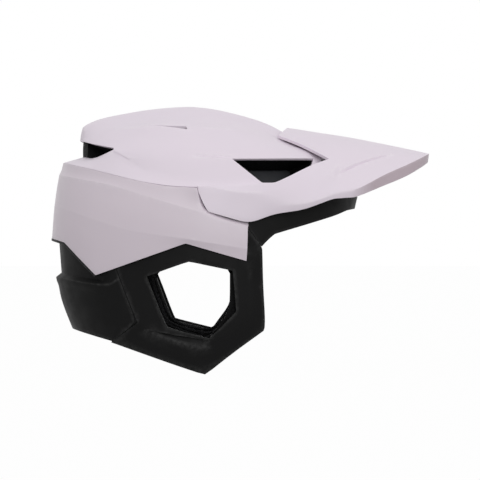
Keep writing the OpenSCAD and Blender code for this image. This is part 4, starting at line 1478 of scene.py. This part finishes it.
@dataclass
class ComfortPads:
    """The comfort pads: knit covers that swell over foam, with a bound edge."""

    finishes: Finishes
    head: HeadSpace = field(default_factory=HeadSpace)
    voxel: float = 2.2 * MM
    # How the cover is laid in before it swells, and how it swells
    slack: float = 0.7 * MM
    cap: float = 1.7 * MM
    pressure: float = 4.0
    frames: int = 18
    binding_radius: float = 0.8 * MM
    # The sewn channels: their depth, half width and pitch, and the radii at which the pitch is measured
    groove: float = 0.9 * MM
    channel: float = 0.003
    band_pitch: float = 0.0262
    crown_pitch: float = 0.022
    ear_pitch: float = 0.0353
    head_radius: float = 0.1
    ear_radius: float = 0.045
    ear_middle: Range = (-0.043, 0.068)
    # Where the seat of the ear pads rises and, in millimetres, its depths in the head space
    ear_seat_span: Range = (-0.024, -0.012)
    ear_seat_low: float = 0.8
    ear_seat_step: float = 2.6
    ear_rim: float = 1.5

    def swell(self, piece: Piece) -> None:
        """Swells a pad's cover with a short cloth simulation.

        Args:
            piece: The pad.
        """
        rest = [vertex.co.copy() for vertex in piece.data.vertices]
        cloth = piece.modifiers.new("cover", "CLOTH")
        cloth.settings.quality = 5
        cloth.settings.mass = 0.2
        cloth.settings.use_pressure = True
        cloth.settings.uniform_pressure_force = self.pressure
        cloth.settings.effector_weights.gravity = 0.0
        cloth.point_cache.frame_start = 1
        cloth.point_cache.frame_end = self.frames
        scene = bpy.context.scene
        for number in range(1, self.frames + 1):
            scene.frame_set(number)
        shaped = piece.evaluated_get(bpy.context.evaluated_depsgraph_get()).to_mesh()
        moves = [new.co - old for new, old in zip(shaped.vertices, rest)]
        piece.modifiers.remove(cloth)
        scene.frame_set(1)
        for vertex, old, move in zip(piece.data.vertices, rest, moves):
            if move.length > self.cap:
                move = move.normalized() * self.cap
            vertex.co = old + move

    def press_channels(self, piece: Piece, across: Measure, pitch: float) -> None:
        """Presses sewn channels into a pad.

        Args:
            piece: The pad.
            across: Gives a point's way along the pad in metres.
            pitch: The way from one channel to the next.
        """
        normals = [vertex.normal.copy() for vertex in piece.data.vertices]
        for vertex, normal in zip(piece.data.vertices, normals):
            way = across(vertex.co) / pitch
            off = abs(way - round(way)) * pitch
            if off < self.channel:
                vertex.co -= normal * self.groove * math.cos(off / self.channel * math.pi / 2) ** 2

    def binding(self, node: str, name: str, seat: Measure) -> Piece:
        """Runs a bound edge round the inner rim of a pad.

        Args:
            node: The CAD node.
            name: The name of the edge.
            seat: Gives the depth in the head space that parts the inner rim from the outer rim.

        Returns:
            The bound edge.
        """
        piece = copy_node(node, name, quads=False)
        open_up(piece, "EDGE")
        bpy.ops.mesh.edges_select_sharp(sharpness=math.radians(38))
        mesh = bmesh.from_edit_mesh(piece.data)
        for edge in mesh.edges:
            inner = all(self.head.depth(v.co) > seat(v.co) for v in edge.verts)
            edge.select_set(edge.select and inner)
        doomed = [edge for edge in mesh.edges if not edge.select]
        bmesh.ops.delete(mesh, geom=doomed, context="EDGES")
        bmesh.update_edit_mesh(piece.data)
        close_up()
        pick_up(piece)
        bpy.ops.object.convert(target="CURVE")
        curve = bpy.context.object
        curve.data.bevel_depth = self.binding_radius
        curve.data.bevel_resolution = 3
        bpy.ops.object.convert(target="MESH")
        piece = bpy.context.object
        piece.name = piece.data.name = name
        soften(piece, 1)
        smooth(piece)
        return piece

    def pad(self, node: str, name: str, body: Body, across: Measure, pitch: float) -> None:
        """Makes one pad over its CAD solid.

        Args:
            node: The CAD node.
            name: The pad's name.
            body: The body that it rides on.
            across: Gives a point's way along the pad, for its channels.
            pitch: The way from one channel to the next.
        """
        piece = copy_node(node, name, quads=False)
        open_up(piece, whole=True)
        bpy.ops.transform.shrink_fatten(value=-self.slack)
        close_up()
        work(piece, "REMESH", mode="VOXEL", voxel_size=self.voxel)
        work(piece, "SMOOTH", factor=0.5, iterations=3)
        self.swell(piece)
        work(piece, "SMOOTH", factor=0.5, iterations=2)
        soften(piece, 1)
        self.press_channels(piece, across, pitch)
        smooth(piece)
        dress(piece, self.finishes.knit, Slot.PAD_FABRIC, body, node)

    def head_way(self, point: Vector) -> float:
        """Gives a point's way round the head."""
        return self.head_radius * math.atan2(point.y, point.x - self.head.middle[0])

    def ear_way(self, point: Vector) -> float:
        """Gives a point's way round the ear opening."""
        return self.ear_radius * math.atan2(point.z - self.ear_middle[1], point.x - self.ear_middle[0])

    def ear_seat(self, point: Vector) -> float:
        """Gives the depth between the rims of the ear pads.

        Args:
            point: The point.

        Returns:
            The depth in metres, greater in front of the ear.
        """
        share = share_between(point.x, self.ear_seat_span)
        rise = self.ear_seat_step * share * share * (3 - 2 * share)
        return (self.ear_seat_low + rise + self.ear_rim) * MM

    def build(self) -> None:
        """Makes all pads and their bound edges."""
        head, band, ear = self.head_way, self.band_pitch, (self.ear_way, self.ear_pitch, self.ear_seat)
        plan = (("brow_pad", "brow_cushion", Body.HELMET, head, band, lambda p: 6.8 * MM),
                ("crown_pad", "crown_cushion", Body.HELMET, lambda p: p.x, self.crown_pitch,
                 lambda p: 5.5 * MM),
                ("side_pads", "side_cushions", Body.HELMET, head, band, lambda p: 5.0 * MM),
                ("ear_pad_right", "ear_cushion_right", Body.HELMET, *ear),
                ("ear_pad_left", "ear_cushion_left", Body.HELMET, *ear),
                ("cradle_pads", "cradle_cushions", Body.CRADLE, head, band, lambda p: 15.2 * MM))
        for node, name, body, across, pitch, seat in plan:
            self.pad(node, name, body, across, pitch)
            edge = self.binding(node, name + "_binding", seat)
            dress(edge, self.finishes.binding, Slot.PAD_FABRIC, body)


@dataclass
class FitSystem:
    """The fit system: band, guide rail, carrier, cradle, dial housing, dial and ties."""

    finishes: Finishes
    # The rail's ridges
    first_ridge: Place = (-0.1378, 0.0, 0.132)
    ridge_size: Place = (0.8 * MM, 12 * MM, 1.6 * MM)
    ridge_taper: Place = (1, 0.92, 0.35)
    ridge_pitch: float = 4 * MM
    ridge_count: int = 8
    # The dial and its cap, whose rings are widths and depths in millimetres
    dial_place: Place = (-0.1453, 0.0, 0.080)
    dial_height: float = 11 * MM
    grip_rim: float = 0.9 * MM
    cap_radius: float = 9.6 * MM
    cap_height: float = 0.5 * MM
    cap_rings: Line = ((1.0, 0.35), (0.6, 0.0), (0.5, -0.5), (3.4, -0.25), (0.4, 0.3))
    cap_rim: float = 0.12 * MM
    # The screws of the housing
    screw_place: Place = (-0.1454, 0.0195, 0.080)
    screw_radius: float = 2.2 * MM
    screw_height: float = 1.0 * MM
    screw_rings: Line = ((0.45, 0.35), (0.6, 0.05), (0.05, -0.8))
    screw_rim: float = 0.08 * MM
    # The ties, whose rear ends move to leave the housing room
    tie_y: float = 0.040
    tie_end: float = -0.126
    tie_end_shift: Place = (1.8 * MM, 3.2 * MM, 2.2 * MM)

    def sheet(self, node: str, name: str, body: Body) -> None:
        """Makes a thin moulded strip over a CAD node.

        Args:
            node: The CAD node.
            name: The strip's name.
            body: The body that it rides on.
        """
        piece = copy_node(node, name)
        crease_folds(piece, 45.0, 1.0)
        soften(piece, 2)
        round_edges(piece, 0.3 * MM, 2, 50.0)
        present(piece, 50.0, self.finishes.nylon, Slot.FIT_NYLON, body, node)

    def block(self, node: str, name: str, width: float, body: Body) -> None:
        """Makes a moulded block over a CAD node, with rounded edges.

        Args:
            node: The CAD node.
            name: The block's name.
            width: The width of the rounding.
            body: The body that it rides on.
        """
        piece = copy_node(node, name, quads=False)
        merge_flats(piece)
        round_edges(piece, width, 3, 40.0)
        present(piece, 35.0, self.finishes.nylon, Slot.FIT_NYLON, body, node)

    def ridges(self) -> None:
        """Makes the detent ridges on the back of the guide rail."""
        ridge = tapered_bar(self.first_ridge, self.ridge_size, lambda centre, normal: normal.x > 0.9,
                            self.ridge_taper, 0.15 * MM, 2)
        rows = [copy_piece(ridge, f"ridge_{k}", (0, 0, k * self.ridge_pitch))
                for k in range(1, self.ridge_count)]
        piece = gather([ridge, *rows], "rail_ridges")
        present(piece, 30.0, self.finishes.nylon, Slot.FIT_NYLON, Body.HELMET)

    def dial(self) -> None:
        """Makes the fluted dial and its dished cap."""
        grip = copy_node("fit_dial", "dial_grip", quads=False)
        merge_flats(grip)
        round_edges(grip, self.grip_rim, 3, 60.0)
        present(grip, 40.0, self.finishes.rubber, Slot.DIAL_RUBBER, Body.DIAL, "fit_dial")
        x, y, z = self.dial_place
        back = x - self.dial_height
        cap = start_disc(64, self.cap_radius, self.cap_height, (back - self.cap_height / 2, y, z), True)
        cap.name = "dial_cap"
        press_rings(cap, self.cap_rings)
        round_edges(cap, self.cap_rim, 2, 20.0)
        present(cap, 30.0, self.finishes.fitting, Slot.FITTING_NYLON, Body.DIAL)

    def screws(self) -> None:
        """Makes the two screws of the dial housing."""
        screw = start_disc(32, self.screw_radius, self.screw_height, self.screw_place, True)
        press_rings(screw, self.screw_rings)
        round_edges(screw, self.screw_rim, 2, 25.0)
        smooth(screw, 30.0)
        other = copy_piece(screw, "screw_other", (0, -2 * self.screw_place[1], 0))
        piece = gather([screw, other], "housing_screws")
        dress(piece, self.finishes.steel, Slot.FITTING_NYLON, Body.CRADLE)

    def tie(self, side: str) -> None:
        """Makes a tie from the foam to the carrier, whose end leaves the housing room to come forward.

        Args:
            side: Its side, right or left.
        """
        tie = copy_node("tie_" + side, "band_tie_" + side)
        x, y, z = self.tie_end_shift
        for vertex in tie.data.vertices:
            if vertex.co.x < self.tie_end:
                vertex.co += Vector((x, math.copysign(y, vertex.co.y), z))
        crease_folds(tie, 45.0, 1.0)
        soften(tie, 2)
        smooth(tie, 50.0)
        mark_edges(tie)
        coat(tie, self.finishes.nylon)
        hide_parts("tie_" + side)
        y = self.tie_y if side == "left" else -self.tie_y
        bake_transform(tie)

    def build(self) -> None:
        """Makes the whole fit system."""
        self.sheet("fit_band", "head_band", Body.HELMET)
        self.block("cradle_guide", "guide_rail", 0.35 * MM, Body.HELMET)
        self.ridges()
        self.block("carrier", "carrier_block", 0.5 * MM, Body.CARRIER)
        self.sheet("cradle", "nape_cradle", Body.CRADLE)
        self.block("dial_housing", "housing_shell", 1.6 * MM, Body.CRADLE)
        self.screws()
        self.dial()
        for side in ("right", "left"):
            self.tie(side)


@dataclass
class Webbing:
    """The chin straps, the rear straps and their stitching.

    Routes are middle lines in millimetres, on the right side.
    """

    finishes: Finishes
    chin_route: tuple[Place, ...] = (
        (8.5, -75, 100), (8.5, -74.3, 88), (8.5, -73.7, 76), (8.5, -73, 63), (8.5, -72.4, 51.5),
        (5.5, -66, 41), (-6, -52, 30.5), (-18, -35, 23.5), (-26, -20.5, 20.7))
    rear_route: tuple[Place, ...] = (
        (-88, -60, 34), (-74, -66, 27), (-58, -69, 20), (-40, -71, 15.5), (-24, -71, 17.5),
        (-10, -70, 25.5), (1, -69, 37))
    # The blocks of stitches: their x and height, their rows, and the size of a stitch
    chin_tack: Range = (0.0085, 0.083)
    rear_tack: Range = (-0.070, 0.0255)
    tack_rows: int = 4
    tack_stitches: int = 6
    tack_row_pitch: float = 3.4 * MM
    tack_pitch: float = 2.1 * MM
    stitch_radius: float = 0.32 * MM
    stitch_length: float = 1.5 * MM

    def lay_weave(self, piece: Piece, route: Sequence[Place], across: Vector) -> None:
        """Maps a tape in metres along its route and across its width.

        Args:
            piece: The tape.
            route: Its route.
            across: The direction across the tape.
        """
        side = -1 if piece.data.vertices[0].co.y * route[0][1] < 0 else 1
        points = [Vector((x, side * y, z)) * MM for x, y, z in route]
        spots = []
        for vertex in piece.data.vertices:
            best, spot, way = math.inf, (0.0, 0.0), 0.0
            for start, end in zip(points, points[1:]):
                step = end - start
                share = unit((vertex.co - start).dot(step) / step.length_squared)
                off = vertex.co - (start + step * share)
                if off.length < best:
                    best, spot = off.length, (off.dot(across), way + share * step.length)
                way += step.length
            spots.append(spot)
        layer = piece.data.uv_layers.new(name="tape")
        for loop in piece.data.loops:
            layer.data[loop.index].uv = spots[loop.vertex_index]

    def tape(self, node: str, name: str, route: Sequence[Place], across: Vector) -> Piece:
        """Makes a strap over its CAD node.

        Args:
            node: The CAD node.
            name: The strap's name.
            route: Its route.
            across: The direction across the tape.

        Returns:
            The strap, not yet riding on a body.
        """
        piece = copy_node(node, name)
        crease_folds(piece, 45.0, 0.85)
        soften(piece, 3)
        smooth(piece)
        self.lay_weave(piece, route, across)
        coat(piece, self.finishes.tape)
        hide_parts(node)
        return piece

    def stitch(self) -> Piece:
        """Makes one stitch, lying along Z at the origin.

        Returns:
            The stitch.
        """
        piece = start_disc(8, self.stitch_radius, self.stitch_length, (0, 0, 0), False)
        open_up(piece)
        choose_faces(piece, lambda centre, normal: abs(normal.z) > 0.9)
        bpy.ops.mesh.inset(thickness=0.12 * MM, depth=0.25 * MM, use_individual=True)
        close_up()
        smooth(piece)
        return piece

    def bartack(self, strap: Piece, name: str, spot: Range, side: int) -> None:
        """Sews a block of stitches through a strap, on the face towards the head.

        Args:
            strap: The strap.
            name: The block's name.
            spot: The x and the height of its middle.
            side: -1 on the right side, 1 on the left side.
        """
        first = self.stitch()
        made = []
        for row in range(self.tack_rows):
            for number in range(self.tack_stitches):
                way = spot[0] + (row - (self.tack_rows - 1) / 2) * self.tack_row_pitch
                height = spot[1] + (number - (self.tack_stitches - 1) / 2) * self.tack_pitch
                hit, place, _, _ = strap.ray_cast(Vector((way, 0, height)), Vector((0, side, 0)))
                if hit:
                    made.append(copy_piece(first, f"{name}_{row}_{number}", place))
        bpy.data.objects.remove(first)
        dress(gather(made, name), self.finishes.thread, Slot.WEBBING, Body.HELMET)

    def build(self) -> None:
        """Makes all straps and stitches."""
        for side, sign in (("right", -1), ("left", 1)):
            chin = self.tape("chin_strap_" + side, "chin_web_" + side, self.chin_route, Vector((1, 0, 0)))
            rear = self.tape("rear_strap_" + side, "nape_web_" + side, self.rear_route, Vector((0, 0, 1)))
            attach(rear, Body.HELMET.value)
            if side == "right":
                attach(chin, Body.HELMET.value)
            else:
                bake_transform(chin)
            self.bartack(chin, "chin_tack_" + side, self.chin_tack, sign)
            self.bartack(rear, "nape_tack_" + side, self.rear_tack, sign)
            log.info("%s and %s laid", chin.name, rear.name)


@dataclass
class StrapFittings:
    """Dividers, anchors, buckle and the pegs of the peak."""

    finishes: Finishes
    buckle_z: float = 0.020
    first_rib: Place = (-0.027, 0.0135, 0.0237)
    rib_size: Place = (14 * MM, 1.1 * MM, 1.2 * MM)
    rib_taper: Place = (0.9, 0.5, 1)
    rib_pitch: float = 2.2 * MM
    rib_count: int = 4

    def moulded(self, node: str, name: str, body: Body, width: float, panel: FaceTest,
                margin: float, recess: float) -> None:
        """Makes a moulded fitting over a CAD node, with recessed panels and rounded edges.

        Args:
            node: The CAD node.
            name: The fitting's name.
            body: The body that it rides on.
            width: The width of the rounding.
            panel: Says which faces are recessed.
            margin: The border round a recess.
            recess: The depth of a recess.
        """
        piece = copy_node(node, name, quads=False)
        merge_flats(piece)
        open_up(piece)
        choose_faces(piece, panel)
        bpy.ops.mesh.inset(thickness=margin, depth=0.0, use_individual=True)
        bpy.ops.mesh.inset(thickness=recess * 0.6, depth=-recess, use_individual=True)
        close_up()
        round_edges(piece, width, 3, 30.0)
        present(piece, 35.0, self.finishes.fitting, Slot.FITTING_NYLON, body, node)

    def level_panel(self, reach: float) -> FaceTest:
        """Makes a test for the buckle's upper and lower faces.

        Args:
            reach: Their least distance from the buckle's middle height.

        Returns:
            The test.
        """
        return lambda centre, normal: abs(normal.z) > 0.9 and abs(centre.z - self.buckle_z) > reach

    def grip_ribs(self) -> None:
        """Makes the finger ribs on both faces of the buckle's tongue."""
        rib = tapered_bar(self.first_rib, self.rib_size, lambda centre, normal: normal.z > 0.9,
                          self.rib_taper, 0.25 * MM, 3)
        upper = [copy_piece(rib, f"rib_{k}", (0, k * self.rib_pitch, 0)) for k in range(1, self.rib_count)]
        lower = [copy_piece(top, top.name + "_low", (0, 0, 0)) for top in (rib, *upper)]
        for low in lower:
            for vertex in low.data.vertices:
                vertex.co.z = 2 * self.buckle_z - vertex.co.z
            open_up(low, whole=True)
            bpy.ops.mesh.flip_normals()
            close_up()
        piece = gather([rib, *upper, *lower], "tongue_ribs")
        present(piece, 30.0, self.finishes.fitting, Slot.FITTING_NYLON, Body.TONGUE)

    def build(self) -> None:
        """Makes all fittings."""
        self.moulded("strap_dividers", "divider_plates", Body.HELMET, 0.7 * MM,
                     lambda centre, normal: abs(normal.y) > 0.9, 2.4 * MM, 0.7 * MM)
        self.moulded("strap_anchors", "anchor_studs", Body.HELMET, 0.35 * MM,
                     lambda centre, normal: abs(normal.y) > 0.9 and abs(centre.y) < 0.08,
                     2.2 * MM, 0.6 * MM)
        self.moulded("buckle_socket", "buckle_body", Body.HELMET, 0.9 * MM,
                     self.level_panel(0.004), 3.2 * MM, 0.6 * MM)
        self.moulded("buckle_tongue", "buckle_insert", Body.TONGUE, 0.8 * MM,
                     self.level_panel(0.003), 2.2 * MM, 0.5 * MM)
        self.grip_ribs()
        self.moulded("peak_pegs", "peak_bolts", Body.HELMET, 0.5 * MM,
                     lambda centre, normal: abs(normal.y) > 0.9, 1.3 * MM, 0.8 * MM)
        plugs = copy_node("slip_anchors", "slip_plugs")
        soften(plugs, 1)
        smooth(plugs)
        dress(plugs, self.finishes.plug, Slot.SOFT_PLUG, Body.HELMET, "slip_anchors")


@dataclass(frozen=True)
class Lamp:
    """A soft square lamp: its place, the length of its side and its power in watts."""

    name: str
    place: Place
    size: float
    power: float


@dataclass
class Studio:
    """Camera, floor and light."""

    eye: Place = (0.0, -1.5, 0.12)
    lens: float = 119.68
    sensor: float = 36.0
    ambient: float = 0.77
    lamps: tuple[Lamp, ...] = (
        Lamp("lamp_top", (0.25, -0.35, 1.7), 1.4, 0.6), Lamp("lamp_front", (0.2, -1.7, 0.5), 1.0, 9.8))
    aim: Place = (0, 0, 0.12)
    floor_radius: float = 6.0
    floor_tone: float = 0.25
    # The share of the floor's white ground, whose rest keeps the helmet's shadow
    floor_white: float = 0.985

    def camera(self) -> None:
        """Makes the camera, level and square to the helmet's right side."""
        data = bpy.data.cameras.new("view_camera")
        data.lens = self.lens
        data.sensor_width = self.sensor
        data.clip_start = 0.05
        camera = bpy.data.objects.new("view_camera", data)
        camera.location = self.eye
        camera.rotation_euler = (math.radians(90), 0, 0)
        bpy.context.scene.collection.objects.link(camera)
        bpy.context.scene.camera = camera

    def joint(self, tree: bpy.types.NodeTree, operation: str, first: Socket,
              second: Socket | float) -> Socket:
        """Works out one value from two.

        Args:
            tree: The node tree to add to.
            operation: The name of the operation.
            first: The first value.
            second: The second value, a socket or a number.

        Returns:
            The result.
        """
        made = tree.nodes.new("ShaderNodeMath")
        made.operation = operation
        tree.links.new(first, made.inputs[0])
        if isinstance(second, float):
            made.inputs[1].default_value = second
        else:
            tree.links.new(second, made.inputs[1])
        return made.outputs[0]

    def whiten(self, tree: bpy.types.NodeTree, kind: str, plain: Socket, output: str, most: float) -> None:
        """Lays a plain white over a shader, for the rays that see it straight, in metal or in glass.

        Args:
            tree: The node tree.
            kind: The type of the node that shines white.
            plain: The shader that all other rays see.
            output: The name of the output node.
            most: The share of white in what those rays see.
        """
        white = tree.nodes.new(kind)
        white.inputs["Color"].default_value = (1, 1, 1, 1)
        white.inputs["Strength"].default_value = 1.0
        rays = tree.nodes.new("ShaderNodeLightPath").outputs
        share = self.joint(tree, "MAXIMUM", rays["Is Camera Ray"], rays["Is Glossy Ray"])
        share = self.joint(tree, "MAXIMUM", share, rays["Is Transmission Ray"])
        mixer = tree.nodes.new("ShaderNodeMixShader")
        tree.links.new(self.joint(tree, "MULTIPLY", share, most), mixer.inputs["Fac"])
        tree.links.new(plain, mixer.inputs[1])
        tree.links.new(white.outputs[0], mixer.inputs[2])
        tree.links.new(mixer.outputs[0], tree.nodes[output].inputs["Surface"])

    def world(self) -> None:
        """Makes the soft surrounding light and the white ground behind the helmet."""
        world = bpy.data.worlds.new("studio_world")
        bpy.context.scene.world = world
        world.use_nodes = True
        soft = world.node_tree.nodes["Background"]
        soft.inputs["Color"].default_value = (1, 1, 1, 1)
        soft.inputs["Strength"].default_value = self.ambient
        self.whiten(world.node_tree, "ShaderNodeBackground", soft.outputs[0], "World Output", 1.0)

    def floor(self) -> None:
        """Makes the pale floor, which shows white and keeps the helmet's shadow."""
        put_down()
        bpy.ops.mesh.primitive_circle_add(
            vertices=96, radius=self.floor_radius, fill_type="NGON", location=(0, 0, 0))
        ground = bpy.context.object
        ground.name = "studio_floor"
        mix = Mixture("floor_paint")
        tone = self.floor_tone
        mix.set(Base_Color=(tone, tone, tone, 1), Roughness=0.9, Specular_IOR_Level=0.0)
        self.whiten(mix.tree, "ShaderNodeEmission", mix.shader.outputs[0], "Material Output",
                    self.floor_white)
        ground.data.materials.append(mix.material)

    def hang(self, lamp: Lamp) -> None:
        """Hangs a lamp, facing the helmet.

        Args:
            lamp: The lamp.
        """
        data = bpy.data.lights.new(lamp.name, "AREA")
        data.shape = "SQUARE"
        data.size = lamp.size
        data.energy = lamp.power
        light = bpy.data.objects.new(lamp.name, data)
        light.location = lamp.place
        light.rotation_euler = (Vector(self.aim) - Vector(lamp.place)).to_track_quat("-Z", "Y").to_euler()
        bpy.context.scene.collection.objects.link(light)

    def build(self) -> None:
        """Sets up the studio."""
        bpy.context.scene.view_settings.view_transform = "Standard"
        self.camera()
        self.world()
        self.floor()
        for lamp in self.lamps:
            self.hang(lamp)


def main() -> None:
    """Builds the studio and every sub-assembly in order."""
    logging.basicConfig(level=logging.INFO, format="%(message)s")
    Studio().build()
    finishes = Finishes()
    OuterShells(finishes).build()
    Liners(finishes).build()
    ComfortPads(finishes).build()
    FitSystem(finishes).build()
    Webbing(finishes).build()
    StrapFittings(finishes).build()


if __name__ == "__main__":
    main()
